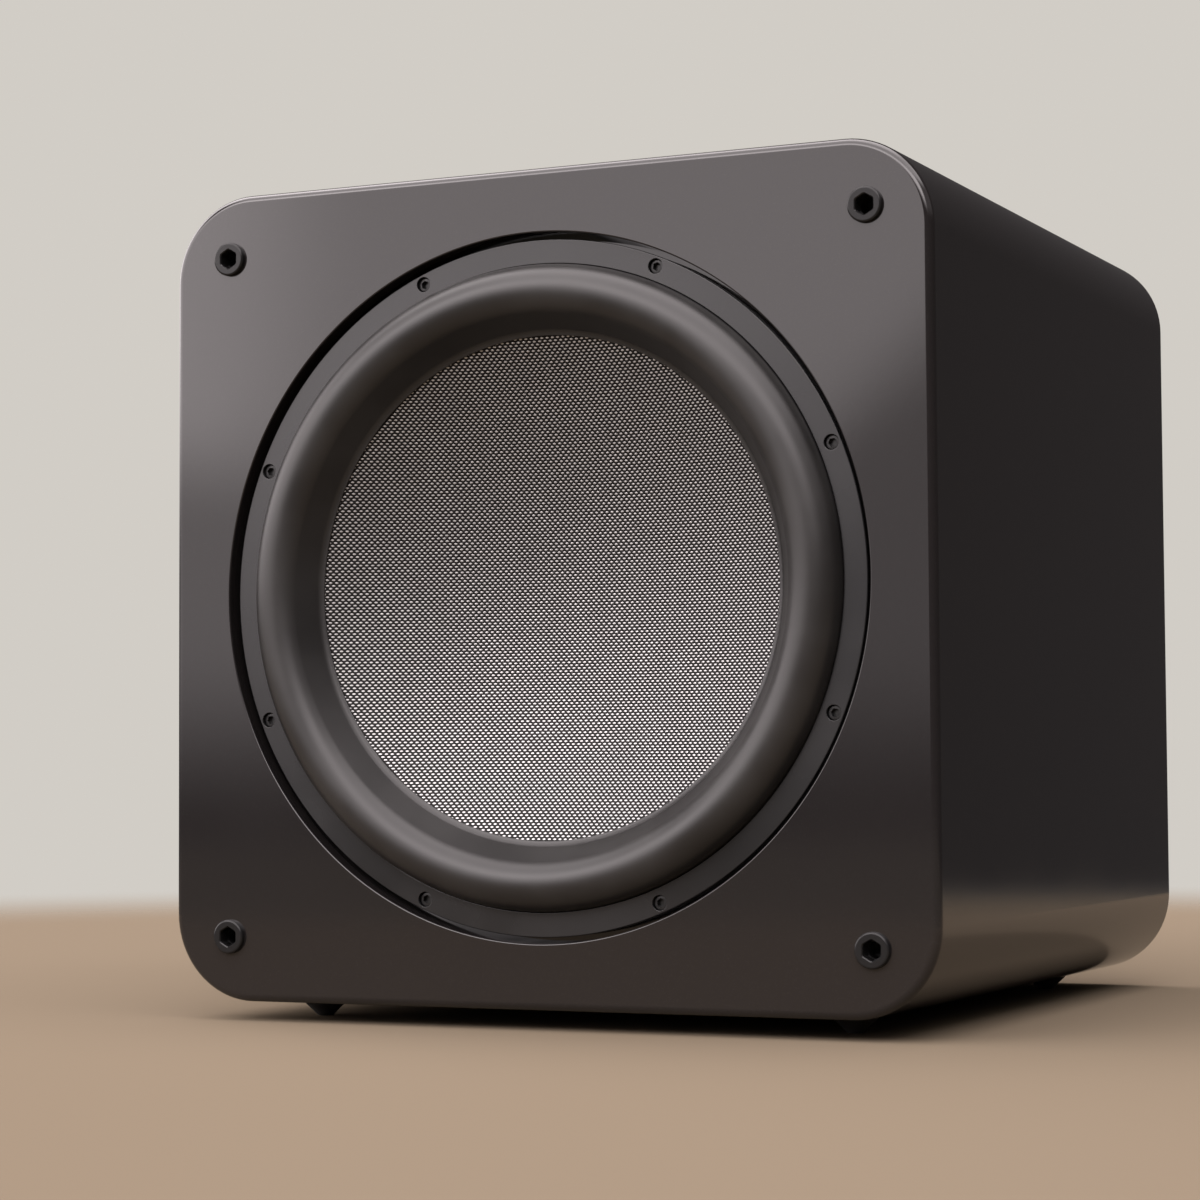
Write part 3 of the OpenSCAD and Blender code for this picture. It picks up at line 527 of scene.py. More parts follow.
def circuit_board():
    look = Finish("solder_mask")
    cells = look.node("TexVoronoi", feature="DISTANCE_TO_EDGE", distance="MANHATTAN")
    look.feed(look.place, cells.inputs["Vector"])
    cells.inputs["Scale"].default_value = 190.0
    track = look.span(cells.outputs["Distance"], 0.04, 0.07)
    return look.surface(
        Base_Color=look.mix(track, (0.05, 0.26, 0.12), (0.012, 0.12, 0.05)),
        Roughness=0.35,
        Normal=look.bump(track, 0.05 * MM),
    )


def fuse_glass():
    """Clear tube with plated caps at both ends."""
    look = Finish("glass_fuse")
    low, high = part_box("fuse")
    off_middle = look.math("ABSOLUTE", look.math("SUBTRACT", look.axes()[0], middle("fuse").x))
    half = (high.x - low.x) / 2
    cap = look.span(off_middle, half - 5.2 * MM, half - 5 * MM)
    return look.surface(
        Base_Color=look.mix(cap, (0.85, 0.9, 0.9), (0.6, 0.6, 0.62)),
        Metallic=cap,
        Roughness=look.span(cap, 0.0, 1.0, 0.04, 0.3),
        Transmission_Weight=look.math("MULTIPLY", look.math("SUBTRACT", 1.0, cap), 0.9),
    )


def led_lens():
    look = Finish("blue_lens")
    fall = look.noise(700.0, 1.0)
    return look.surface(
        Base_Color=look.mix(fall, (0.05, 0.16, 0.7), (0.12, 0.3, 0.95)),
        Roughness=0.18,
        Emission_Color=(0.12, 0.32, 1.0),
        Emission_Strength=look.span(fall, 0.0, 1.0, 2.2, 3.0),
    )


def surround_rubber():
    """Satin butyl: a soft sheen, faint mould flow and a light bloom."""
    look = Finish("butyl_rubber")
    bloom = look.noise(22.0, 4.0)
    skin = look.noise(1500.0, 2.0)
    tone = look.mix(look.span(bloom, 0.35, 0.7), (0.011, 0.0105, 0.0102), (0.017, 0.0165, 0.016))
    return look.surface(
        Base_Color=tone,
        Roughness=look.span(bloom, 0.3, 0.7, 0.36, 0.42, "LINEAR"),
        Normal=look.bump(skin, 0.006 * MM),
        Specular_IOR_Level=0.42,
    )


SLOTS = {
    "cabinet_lacquer": lacquer(),
    "brace_board": fibreboard(),
    "foam": open_foam(),
    "black_plastic": grained(
        "moulded_plastic", (0.014, 0.014, 0.0145), 0.4, 1400.0, Specular_IOR_Level=0.3
    ),
    "foot_rubber": grained("foot_rubber", (0.022, 0.021, 0.02), 0.6, 1100.0),
    "zinc_steel": brushed("zinc_steel", (0.6, 0.61, 0.64), 0.32),
    "brass": grained("gold_plate", (0.83, 0.6, 0.24), 0.2, 1800.0, 0.004 * MM, 1.0, 0.06),
    "cast_frame": grained("powder_coat", (0.03, 0.03, 0.032), 0.55, 800.0, 0.06 * MM),
    "satin_black_ring": grained(
        "satin_coat", (0.012, 0.012, 0.0125), 0.18, 1900.0, 0.006 * MM, Specular_IOR_Level=0.45
    ),
    "black_oxide_steel": grained(
        "black_oxide", (0.008, 0.008, 0.0082), 0.3, 1500.0, 0.008 * MM, Specular_IOR_Level=0.35
    ),
    "surround_rubber": surround_rubber(),
    "cone_fibre": grained("pressed_fibre", (0.03, 0.03, 0.03), 0.7, 500.0, 0.1 * MM),
    "woven_dish": woven_fibre(),
    "former_aluminium": brushed("bare_aluminium", (0.75, 0.75, 0.77), 0.3, (1, 60, 1)),
    "copper_winding": copper_winding(),
    "spider_cloth": spider_cloth(),
    "ferrite": grained("ferrite", (0.06, 0.06, 0.065), 0.5, 1200.0, 0.03 * MM, 0.3),
    "boot_rubber": grained("boot_rubber", (0.025, 0.025, 0.025), 0.48, 900.0),
    "anodised_plate": grained("bead_blast", (0.022, 0.022, 0.024), 0.46, 2600.0, 0.02 * MM, 0.35),
    "circuit_board": circuit_board(),
    "component_black": grained("sleeve", (0.03, 0.03, 0.034), 0.36, 1000.0, 0.01 * MM),
    "knob_black": grained("soft_touch", (0.022, 0.022, 0.023), 0.55, 2000.0),
    "fuse_glass": fuse_glass(),
    "led_lens": led_lens(),
}
SOCKET_BLACK = grained(
    "satin_plastic", (0.009, 0.009, 0.0092), 0.18, 1400.0, 0.006 * MM, Specular_IOR_Level=0.22
)
PRINT_WHITE = grained("printed_white", (0.62, 0.62, 0.6), 0.5, 1500.0, 0.004 * MM, 0.0, 0.05)
WHITE_INSERT = grained("white_insert", (0.7, 0.7, 0.68), 0.35, 900.0, 0.004 * MM, 0.0, 0.05)
RED_INSERT = grained("red_insert", (0.5, 0.02, 0.015), 0.35, 900.0, 0.004 * MM, 0.0, 0.08)


# Cabinet -----------------------------------------------------------------

SOCKETS = [(sx * SOCKET_AT, sy * SOCKET_AT) for sx, sy in CORNERS]
SOCKET_BARREL_R = 7 * MM
SOCKET_HOLE_DEPTH = 18 * MM
ROUND_CORNER_R = 5.5 * MM
PEG_HOLE_R = 4.9 * MM
PEG_HOLE_DEPTH = 16 * MM
EDGE_STEPS = 12


def edge_rings(half, radius, edge, top, outwards):
    """Rings of a rounded edge, from the flat face at height top to the side below or above."""
    rings = []
    for k in range(EDGE_STEPS + 1):
        a = math.pi / 2 * k / EDGE_STEPS
        inset = edge * (1 - math.sin(a))
        drop = edge * (1 - math.cos(a))
        rings.append((rounded_square(half - inset, radius - inset), top - outwards * drop))
    return rings


def baffle():
    """Front baffle: rounded edge, driver recess with a soft lip, socket holes and a tongue."""
    shape = Shape()
    rings = edge_rings(HALF, CORNER_R, FRONT_EDGE_R, 0.0, 1)
    rings.append((rounded_square(HALF, CORNER_R), BAFFLE_BACK))
    face, back = shape.stack(rings)
    tongue = rounded_square(INSIDE_HALF - FIT_GAP, CORNER_R - (HALF - INSIDE_HALF))
    end = BAFFLE_BACK - TONGUE_LENGTH
    tongue_top, tongue_end = shape.stack([(tongue, BAFFLE_BACK), (tongue, end)])
    lip = [
        (RECESS_R + RECESS_EDGE - y, x - RECESS_EDGE)
        for x, y in arc(0, 0, RECESS_EDGE, 0, 90, 4)
    ]
    steps = 360
    mouth, floor_edge = shape.turned([*lip, (RECESS_R, RECESS_FLOOR)], steps)
    hole, hole_end = shape.turned([(DRIVER_HOLE_R, RECESS_FLOOR), (DRIVER_HOLE_R, end)], steps)
    bore = [(SOCKET_BARREL_R, 0.0), (SOCKET_BARREL_R, -SOCKET_HOLE_DEPTH)]
    mouths = []
    for spot in SOCKETS:
        top, bottom = shape.turned(bore, 48, spot)
        mouths.append(top)
        shape.fill(bottom)
    shape.fill(face, mouth, *mouths)
    shape.fill(floor_edge, hole)
    shape.fill(back, tongue_top)
    shape.fill(tongue_end, hole_end)
    piece = shape.build("lacquered_baffle", DRIVER, "cabinet_lacquer", "cabinet", crisp=True)
    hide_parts("front_baffle")


def shell():
    """The wrapped sides, from the baffle's back to the rounded rear edge."""
    shape = Shape()
    outer = [(rounded_square(HALF, CORNER_R), BAFFLE_BACK)]
    outer += edge_rings(HALF, CORNER_R, REAR_EDGE_R, -DEPTH, -1)[::-1]
    inner = rounded_square(INSIDE_HALF, CORNER_R - (HALF - INSIDE_HALF))
    first, last = shape.stack(outer)
    inner_first, inner_last = shape.stack([(inner, BAFFLE_BACK), (inner, -DEPTH)])
    shape.fill(first, inner_first)
    shape.fill(last, inner_last)
    piece = shape.build("lacquered_shell", DRIVER, "cabinet_lacquer", "cabinet", crisp=True)
    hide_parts("cabinet_shell")


def rounded_hexagon(radius, spot, per_side, limit):
    """A hexagon with a tip upwards, whose corners are cut off on a circle."""
    points = []
    for x, y in polygon(radius, 6, per_side, spot, math.pi / 6):
        dx, dy = x - spot[0], y - spot[1]
        keep = min(1.0, limit / math.hypot(dx, dy))
        points.append((spot[0] + dx * keep, spot[1] + dy * keep))
    return points


def grille_sockets():
    """Four sockets: a ring with a round lip, a hexagon for a wrench and a round peg hole."""
    ring_top, lip, hex_depth, chamfer = 3 * MM, 1.2 * MM, 9 * MM, 0.6 * MM
    hex_r = 10 * MM / math.sqrt(3)
    barrel_r = SOCKET_BARREL_R - 0.05 * MM
    per_side, steps = 8, 48
    flange = [(SOCKET_R, 0.0), *arc(SOCKET_R - lip, ring_top - lip, lip, 0, 90, 8)]
    hole = [(PEG_HOLE_R, ring_top - hex_depth), (PEG_HOLE_R, -PEG_HOLE_DEPTH)]
    outside = [(barrel_r, 0.0), (barrel_r, -SOCKET_HOLE_DEPTH)]
    shape = Shape()
    for spot in SOCKETS:
        under, rim = shape.turned(flange, steps, spot)
        hexagon = rounded_hexagon(hex_r, spot, per_side, ROUND_CORNER_R)
        wider = rounded_hexagon(hex_r + chamfer, spot, per_side, ROUND_CORNER_R + chamfer)
        mouth, hex_floor = shape.stack(
            [(wider, ring_top), (hexagon, ring_top - chamfer), (hexagon, ring_top - hex_depth)]
        )
        shape.fill(rim, mouth)
        bore, bore_end = shape.turned(hole, steps, spot)
        shape.fill(hex_floor, bore)
        shape.fill(bore_end)
        barrel, barrel_end = shape.turned(outside, steps, spot)
        shape.fill(under, barrel)
        shape.fill(barrel_end)
    piece = shape.build(
        "grille_peg_sockets", DRIVER, "black_plastic", "cabinet", SOCKET_BLACK, crisp=True
    )
    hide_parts("grille_sockets")


def feet():
    """Four cone feet with a rounded tip and a rolled rim."""
    tip_r, tip_round, rim = 4.75 * MM, 0.8 * MM, 0.8 * MM
    shape = Shape()
    profile = [
        (tip_r - tip_round, 0.0),
        *arc(tip_r - tip_round, tip_round, tip_round, -60, -20, 4),
        (FOOT_R - 0.5 * MM, FOOT_TOP - rim - 0.35 * MM),
        *arc(FOOT_R - rim / 2, FOOT_TOP - rim / 2, rim / 2, -60, 60, 6),
        (FOOT_R - rim / 2, FOOT_TOP),
    ]
    for sx, sy in CORNERS:
        tip, top = shape.turned(profile, 64, (sx * FOOT_X, sy * FOOT_Y))
        shape.fill(tip)
        shape.fill(top)
    piece = shape.build("cone_feet", ROW, "foot_rubber", "cabinet")
    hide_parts("feet")


# Driver ------------------------------------------------------------------


def screw_spots():
    turns = [2 * math.pi * (k + 0.5) / SCREW_COUNT for k in range(SCREW_COUNT)]
    return [(SCREW_CIRCLE * math.cos(a), SCREW_CIRCLE * math.sin(a), a) for a in turns]


def trim_ring():
    """Satin ring over the basket's flange, with softened edges and eight counterbores."""
    edge, hole_r, hole_edge = 0.6 * MM, 4.2 * MM, 0.2 * MM
    inner = ROLL_OUTER + 0.2 * MM
    shape = Shape()
    steps = 360
    rim = arc(FLANGE_R - edge, RING_TOP - edge, edge, 90, 0, 5)
    top_out, under_out = shape.turned([*rim, (FLANGE_R, RING_UNDER)], steps)
    lip = [(inner + edge - x, RING_TOP - edge + y) for x, y in arc(0, 0, edge, 90, 0, 5)]
    top_in, under_in = shape.turned([*lip, (inner, RING_UNDER)], steps)
    hole = [
        (hole_r + hole_edge, RING_TOP),
        (hole_r + hole_edge * 0.3, RING_TOP - hole_edge * 0.3),
        (hole_r, RING_TOP - hole_edge),
        (hole_r, RING_UNDER),
    ]
    mouths, ends = [], []
    for x, y, _ in screw_spots():
        mouth, end = shape.turned(hole, 48, (x, y))
        mouths.append(mouth)
        ends.append(end)
    shape.fill(top_out, top_in, *mouths)
    shape.fill(under_out, under_in, *ends)
    piece = shape.build("driver_trim_ring", DRIVER, "satin_black_ring", "cabinet", crisp=True)
    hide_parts("trim_ring")


def driver_screws():
    """Socket-cap screws: a knurled head with a rounded top edge and a hexagon socket."""
    head_r, shank_r, edge, knurl = 3.95 * MM, 2.45 * MM, 0.5 * MM, 0.12 * MM
    top = FRONT_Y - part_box("driver_screws")[0].y
    tip_h = FRONT_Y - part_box("driver_screws")[1].y
    seat = top - 5 * MM
    hex_r, hex_depth, chamfer = 4 * MM / math.sqrt(3), 2.6 * MM, 0.2 * MM
    thread = [(shank_r, seat), (shank_r, tip_h + 1 * MM), (shank_r * 0.7, tip_h)]
    steps = 48
    shape = Shape()
    for x, y, turn in screw_spots():
        spot = (x, y)
        plain = circle(head_r, steps, spot)
        cut = circle(head_r - knurl, steps, spot)
        knurled = [a if k % 2 else b for k, (a, b) in enumerate(zip(plain, cut))]
        round_edge = [
            (circle(r, steps, spot), h) for r, h in arc(head_r - edge, top - edge, edge, 90, 0, 5)
        ]
        crown, under = shape.stack([*round_edge, (knurled, top - 1.2 * edge), (knurled, seat)])
        shank, tip = shape.turned(thread, steps, spot)
        shape.fill(under, shank)
        shape.fill(tip)
        hexagon = polygon(hex_r, 6, 1, spot, turn * 3)
        wider = polygon(hex_r + chamfer, 6, 1, spot, turn * 3)
        mouth, hex_floor = shape.stack(
            [(wider, top), (hexagon, top - chamfer), (hexagon, top - hex_depth)]
        )
        shape.fill(crown, mouth)
        shape.fill(hex_floor)
    piece = shape.build("socket_cap_screws", DRIVER, "black_oxide_steel", "cabinet")
    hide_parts("driver_screws")


def follow_radius(piece):
    """Bakes the piece's placement into its mesh."""
    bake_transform(piece)


def surround():
    """Half-roll surround with its outer land under the trim ring and a smooth inner land.
    """
    roll_centre = ROLL_OUTER - ROLL_R
    base = -5.5 * MM
    rubber = 1.6 * MM
    roll_inner = roll_centre - ROLL_R
    land_under = RING_UNDER - rubber
    flank, fillet, land = 60, 5 * MM, 15
    foot = (141.2 * MM, -11.6 * MM)
    lip, lip_under = DISH_R - 0.7 * MM, -12.65 * MM
    half = math.radians((flank - land) / 2)
    middle_way = math.radians(90 + (flank + land) / 2)
    reach = fillet / math.cos(half)
    centre = (foot[0] + reach * math.cos(middle_way), foot[1] + reach * math.sin(middle_way))
    shape = Shape()
    skirt_r, skirt_under = DISH_R + 0.2 * MM, -14.4 * MM
    profile = [(lip, lip_under), (lip, lip_under + 0.25 * MM)]
    profile.append((lip + 0.15 * MM, lip_under + 0.4 * MM))
    profile += arc(*centre, fillet, land - 90, flank - 90, 8)
    profile += arc(roll_centre, base, ROLL_R, 90 + flank, 0, 60)
    profile += [(ROLL_OUTER, RING_UNDER), (LAND_R, RING_UNDER), (LAND_R, land_under)]
    profile += [(ROLL_OUTER - rubber, land_under)]
    profile += arc(roll_centre, base, ROLL_R - rubber, 0, 180, 40)
    profile += [(roll_inner + rubber, skirt_under), (skirt_r, skirt_under), (skirt_r, lip_under)]
    shape.turned(profile, 256, closed=True)
    piece = shape.build("rubber_surround", DRIVER, "surround_rubber", None, sharp=50)
    follow_radius(piece)
    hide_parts("surround")


def spider():
    """Corrugated centring disc between the basket and the coil's former."""
    inner = 38.65 * MM
    start, end, waves, rise, thick = 48 * MM, 90 * MM, 5, 2.6 * MM, 1.2 * MM
    base = -100 * MM
    steps = 80
    shape = Shape()
    radii = [start + (end - start) * k / steps for k in range(steps + 1)]
    lower = [(inner, base)]
    lower += [
        (r, base + rise * math.sin(2 * math.pi * waves * (r - start) / (end - start)))
        for r in radii
    ]
    lower.append((SPIDER_R, base))
    upper = [(r, h + thick) for r, h in reversed(lower)]
    shape.turned([*lower, *upper], 128, closed=True)
    piece = shape.build("centring_spider", DRIVER, "spider_cloth", None, sharp=60)
    follow_radius(piece)
    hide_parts("spider")


def tinsel_leads():
    """Two braided leads that arch from the former over the spider to the terminals."""
    centre_r, centre_h = 76.1 * MM, FRONT_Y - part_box("terminal_block")[0].y
    bend, lead_r, sweep = 42.9 * MM, 1.1 * MM, 148
    steps, sides = 72, 14
    shape = Shape()
    for side in (-1, 1):
        a = math.radians(-45 + 4 * side)
        rings = []
        for k in range(steps + 1):
            t = math.radians(sweep * k / steps)
            ring = []
            for j in range(sides):
                b = 2 * math.pi * j / sides
                braid = 1 + 0.07 * math.cos(4 * b + k * 1.1)
                r = centre_r + (bend + lead_r * braid * math.cos(b)) * math.cos(t)
                h = centre_h + (bend + lead_r * braid * math.cos(b)) * math.sin(t)
                off = lead_r * braid * math.sin(b)
                ring.append(len(shape.points))
                shape.points.append(
                    (r * math.cos(a) - off * math.sin(a), r * math.sin(a) + off * math.cos(a), h)
                )
            rings.append(ring)
        for first, second in zip(rings, rings[1:]):
            shape.join(first, second)
        shape.faces += [tuple(rings[0]), tuple(rings[-1])]
    piece = shape.build("braided_leads", DRIVER, "copper_winding", None, sharp=60)
    follow_radius(piece)
    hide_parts("tinsel_leads")


# Woven dish --------------------------------------------------------------


def dish_height(r, curve):
    return DISH_CENTRE - math.sqrt(curve * curve - r * r)


def zip_rings(shape, outer, inner):
    """Joins two rings of unlike counts with triangles, going round by angle."""

    def turn(i):
        x, y, _ = shape.points[i]
        return math.atan2(y, x) % (2 * math.pi)

    outer = sorted(outer, key=turn)
    inner = sorted(inner, key=turn)
    a = b = 0
    while a < len(outer) or b < len(inner):
        next_a = turn(outer[a + 1]) if a + 1 < len(outer) else 2 * math.pi
        next_b = turn(inner[b + 1]) if b + 1 < len(inner) else 2 * math.pi
        p, q = outer[a % len(outer)], inner[b % len(inner)]
        if b >= len(inner) or (a < len(outer) and next_a <= next_b):
            a += 1
            shape.faces.append((p, outer[a % len(outer)], q))
        else:
            b += 1
            shape.faces.append((p, inner[b % len(inner)], q))


def weave_height(i, j):
    """Height of the cloth at a point of the half-pitch lattice, as a share of a yarn."""
    on_column, on_row = i % 2 == 0, j % 2 == 0
    if on_column and on_row:
        return 1.0 if (i // 2 + j // 2) % 2 == 0 else 0.72
    if on_row:
        return 0.62
    if on_column:
        return 0.4
    return 0.0


def cloth(shape, relief, skin):
    """The woven face: weft and warp rise and sink over each other on a lattice."""
    step_x, step_y = WARP_PITCH / 2, WEFT_PITCH / 2
    reach_x, reach_y = int(DISH_R / step_x) + 2, int(DISH_R / step_y) + 2
    index = {}

    def inside(i, j):
        return math.hypot(i * step_x, j * step_y) < DISH_R - 0.05 * MM

    def point(i, j):
        if (i, j) not in index:
            x, y = i * step_x, j * step_y
            r = math.hypot(x, y)
            index[i, j] = len(shape.points)
            if inside(i, j):
                lift = relief * weave_height(i, j)
                shape.points.append((x, y, dish_height(r, skin) + lift))
            else:
                x, y = x * DISH_R / r, y * DISH_R / r
                shape.points.append((x, y, dish_height(DISH_R, skin)))
        return index[i, j]

    for i in range(-reach_x, reach_x):
        for j in range(-reach_y, reach_y):
            corners = [(i, j), (i + 1, j), (i + 1, j + 1), (i, j + 1)]
            if any(inside(*c) for c in corners):
                shape.faces.append(tuple(point(*c) for c in corners))


def open_edges(faces):
    """The edges that a single face uses."""
    uses = {}
    for face in faces:
        for a, b in zip(face, face[1:] + face[:1]):
            key = (min(a, b), max(a, b))
            uses[key] = uses.get(key, 0) + 1
    return [edge for edge, count in uses.items() if count == 1]


def woven_dish():
    """The dish: real cloth in front, a rim and a smooth back."""
    relief, thick = 0.32 * MM, 1.2 * MM
    skin = DISH_CURVE + relief
    shape = Shape()
    cloth(shape, relief, skin)
    edges = open_edges(shape.faces)
    back_rim = {}
    for i in sorted({i for edge in edges for i in edge}):
        x, y, h = shape.points[i]
        back_rim[i] = len(shape.points)
        shape.points.append((x, y, h - thick))
    for a, b in edges:
        shape.faces.append((a, b, back_rim[b], back_rim[a]))
    rings = [
        shape.ring(circle(DISH_R * share, 96), dish_height(DISH_R * share, skin + thick))
        for share in (0.94, 0.75, 0.5, 0.25, 0.08)
    ]
    zip_rings(shape, list(back_rim.values()), rings[0])
    for a, b in zip(rings, rings[1:]):
        shape.join(a, b)
    shape.faces.append(tuple(rings[-1]))
    piece = shape.build("woven_cone_dish", DRIVER, "woven_dish", "cone", sharp=70)
    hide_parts("cone_dish")


# Amplifier ---------------------------------------------------------------

CONTROL_V = middle("volume_knob").z - CENTRE_Z
CONTROL_U = {name: -middle(name + "_knob").x for name in ("volume", "lowpass", "phase")}
KNOB_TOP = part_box("volume_knob")[1].y - REAR_Y
MAINS_V = middle("rocker_bezel").z - CENTRE_Z


def panel_print():
    """Thin printed marks on the plate: a dial of ticks round each knob and a few rules."""
    ink = 0.05 * MM
    shape = Shape()
    for u in CONTROL_U.values():
        for k in range(11):
            a = math.radians(90 + 150 - 30 * k)
            r, length = (13.4 * MM, 2.8 * MM) if k % 5 == 0 else (13 * MM, 1.8 * MM)
            spot = (u + r * math.cos(a), CONTROL_V + r * math.sin(a))
            shape.box(length, 0.45 * MM, 0, ink, spot, turn=a)
    rules = [(0, 96 * MM, 268 * MM), (-24 * MM, 34 * MM, 190 * MM), (0, -98 * MM, 268 * MM)]
    for u, v, length in rules:
        shape.box(length, 0.35 * MM, 0, ink, (u, v))
    _, v, length = rules[0]
    for side in (-1, 1):
        shape.box(0.35 * MM, 4 * MM, 0, ink, (side * length / 2, v + 2 * MM))
    shape.build("panel_print", AMPLIFIER, "anodised_plate", "cabinet", PRINT_WHITE)


def knob_pointers():
    """A white line in each knob's groove."""
    floor = KNOB_TOP - 0.6 * MM
    for name, u in CONTROL_U.items():
        shape = Shape()
        shape.box(0.9 * MM, 4.4 * MM, floor, floor + 0.15 * MM, (u, CONTROL_V + 6.4 * MM))
        body = name + "_control"
        shape.build(name + "_pointer", AMPLIFIER, "knob_black", body, PRINT_WHITE)


def rca_insulators():
    """Coloured insulators in the mouths of the line sockets: white above, red below."""
    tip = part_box("rca_jacks")[1].y - REAR_Y
    us, vs = (-10 * MM, 12 * MM), (54 * MM, 76 * MM)
    for v, name, material in ((vs[1], "white", WHITE_INSERT), (vs[0], "red", RED_INSERT)):
        shape = Shape()
        for u in us:
            outer = [(3.3 * MM, tip - 0.5 * MM), (3.3 * MM, tip), (3.1 * MM, tip + 0.2 * MM)]
            inner = [(1.9 * MM, tip + 0.2 * MM), (1.65 * MM, tip), (1.65 * MM, tip - 0.5 * MM)]
            shape.turned([*outer, *inner], 32, (u, v), closed=True)
        name = "line_socket_insulators_" + name
        shape.build(name, AMPLIFIER, "black_plastic", "cabinet", material)


def rocker_marks():
    """The open circle and the line of a mains switch, on the rocker's two ends."""
    u = -middle("power_rocker").x
    pivot, tilt, arm, dish = -1.2 * MM, math.radians(7), 22 * MM, 2.2 * MM
    place = AMPLIFIER @ Matrix.Translation((u, MAINS_V, pivot)) @ Matrix.Rotation(tilt, 4, "X")
    at = 5.4 * MM
    skin = arm + dish - math.sqrt(arm * arm - at * at)
    lean = math.asin(at / arm)
    for name, side in (("line", 1), ("circle", -1)):
        shape = Shape()
        if name == "line":
            shape.box(0.7 * MM, 3 * MM, -0.1 * MM, 0.12 * MM)
        else:
            ring = [(1.65, -0.1), (1.65, 0.12), (1.05, 0.12), (1.05, -0.1)]
            shape.turned([(r * MM, h * MM) for r, h in ring], 32, closed=True)
        spot = place @ Matrix.Translation((0, side * at, skin)) @ Matrix.Rotation(side * lean, 4, "X")
        shape.build("rocker_mark_" + name, spot, "black_plastic", "rocker", PRINT_WHITE)


# CAD nodes that stay -----------------------------------------------------

BEVELS = {
    "amp_plate": 0.35,
    "heat_sink": 0.35,
    "amp_screws": 0.15,
    "xlr_jacks": 0.3,
    "rca_jacks": 0.2,
    "mains_inlet": 0.35,
    "fuse_drawer": 0.25,
    "rocker_bezel": 0.35,
    "power_rocker": 0.3,
    "mode_slider": 0.3,
    "volume_knob": 0.15,
    "lowpass_knob": 0.15,
    "phase_knob": 0.15,
    "basket": 0.5,
    "top_plate": 0.5,
    "magnets": 0.8,
    "pole_yoke": 0.5,
}


# Nodes shaded flat, and nodes whose flat faces merge before their edges are rounded
FLAT_NODES = ("amp_plate", "heat_sink")
MERGED_NODES = (*FLAT_NODES, "basket", "power_rocker")


def soften(piece, width, flat, merged):
    """Welds the imported corners and rounds the sharp edges.

    On a merged node the triangles of each flat face become one first, or the rounding folds
    the long thin ones over each other.
    """
    custom = piece.data.attributes.get("custom_normal")
    if custom:
        piece.data.attributes.remove(custom)
    if flat:
        piece.data.shade_flat()
    else:
        piece.data.shade_smooth()
    weld = piece.modifiers.new("weld", "WELD")
    weld.merge_threshold = 0.002 * MM
    if merged:
        merge = piece.modifiers.new("merge", "DECIMATE")
        merge.decimate_type = "DISSOLVE"
        merge.angle_limit = math.radians(0.1)
    bevel = piece.modifiers.new("bevel", "BEVEL")
    bevel.width = width * MM
    bevel.segments = 2
    bevel.limit_method = "ANGLE"
    bevel.angle_limit = math.radians(35)
    if not flat:
        bevel.harden_normals = True
        piece.modifiers.new("even", "WEIGHTED_NORMAL").keep_sharp = True


def dress_cad():
    """Each CAD node takes its record slot's material."""
    slots = {row["node"]: row["material_slot"] for row in frame["record"]["subparts"]}
    for name, piece in frame["nodes"].items():
        piece.data.materials.clear()
        piece.data.materials.append(SLOTS[slots[name]])
        if name in BEVELS:
            soften(piece, BEVELS[name], name in FLAT_NODES, name in MERGED_NODES)


# Studio ------------------------------------------------------------------

PALE = (0.64, 0.61, 0.565)
FLOOR_COLOUR = (0.135, 0.109, 0.078)
FLOOR_GLOW = 0.28
LIGHT_TINT = (1.03, 0.945, 0.955)
FLOOR_TINT = (1.0, 0.84, 0.66)
AMBIENT = 0.06
TOP_LIGHT = 4.0
ZENITH_LIGHT = 2.2

# The low window's radiance from its right side to its left, in the pane and on the sill
WINDOW_BRIGHT = (2.9, 4.5)
WINDOW_SILL = (0.8, 1.8)

# The pane's lower edge, in degrees of rise, climbs by SLANT for each degree below SLANT_FROM
PANE_EDGE = 5.6
SLANT_FROM = 21.5
SLANT = 0.85

# Radiance, then turn and rise: from, softness below it, to, softness above it
LAMPS = (
    (8.0, (-25, 25, 36, 24), (28, 12, 34, 16)),
    (4.0, (92, 22, 120, 14), (9, 6, 60, 18)),
    (0.5, (-100, 25, -45, 25), (25, 12, 60, 20)),
    (1.8, (125, 20, 143, 10), (46, 8, 72, 14)),
)


def studio_floor():
    """A plain pale disc that fades into the background at its edge."""
    shape = Shape()
    rings = [shape.ring(circle(r, 96), 0.0) for r in (0.05, 0.4, 1.0, 1.6, 1.9)]
    for a, b in zip(rings, rings[1:]):
        shape.join(a, b)
    shape.fill(rings[0])
    look = Finish("pale_floor")
    squares = [look.math("MULTIPLY", k, k) for k in look.axes()[:2]]
    radius = look.math("SQRT", look.math("ADD", *squares))
    fade = look.span(radius, 1.1, 1.85)
    diffuse = look.node("BsdfDiffuse")
    diffuse.inputs[0].default_value = (*FLOOR_COLOUR, 1)
    clear = look.node("BsdfTransparent")
    blend = look.node("MixShader")
    look.feed(fade, blend.inputs[0])
    look.feed(diffuse.outputs[0], blend.inputs[1])
    look.feed(clear.outputs[0], blend.inputs[2])
    out = look.node("OutputMaterial")
    look.feed(blend.outputs[0], out.inputs[0])
    mesh = bpy.data.meshes.new("floor")
    mesh.from_pydata(shape.points, [], shape.faces)
    mesh.materials.append(look.material)
    floor = bpy.data.objects.new("floor", mesh)
    bpy.context.scene.collection.objects.link(floor)


def window(look, value, low, low_soft, high, high_soft):
    """1 between low and high, falling to 0 over the soft widths outside them."""
    up = look.span(value, low - low_soft, low)
    down = look.span(value, high, high + high_soft, 1.0, 0.0)
    return look.math("MULTIPLY", up, down)


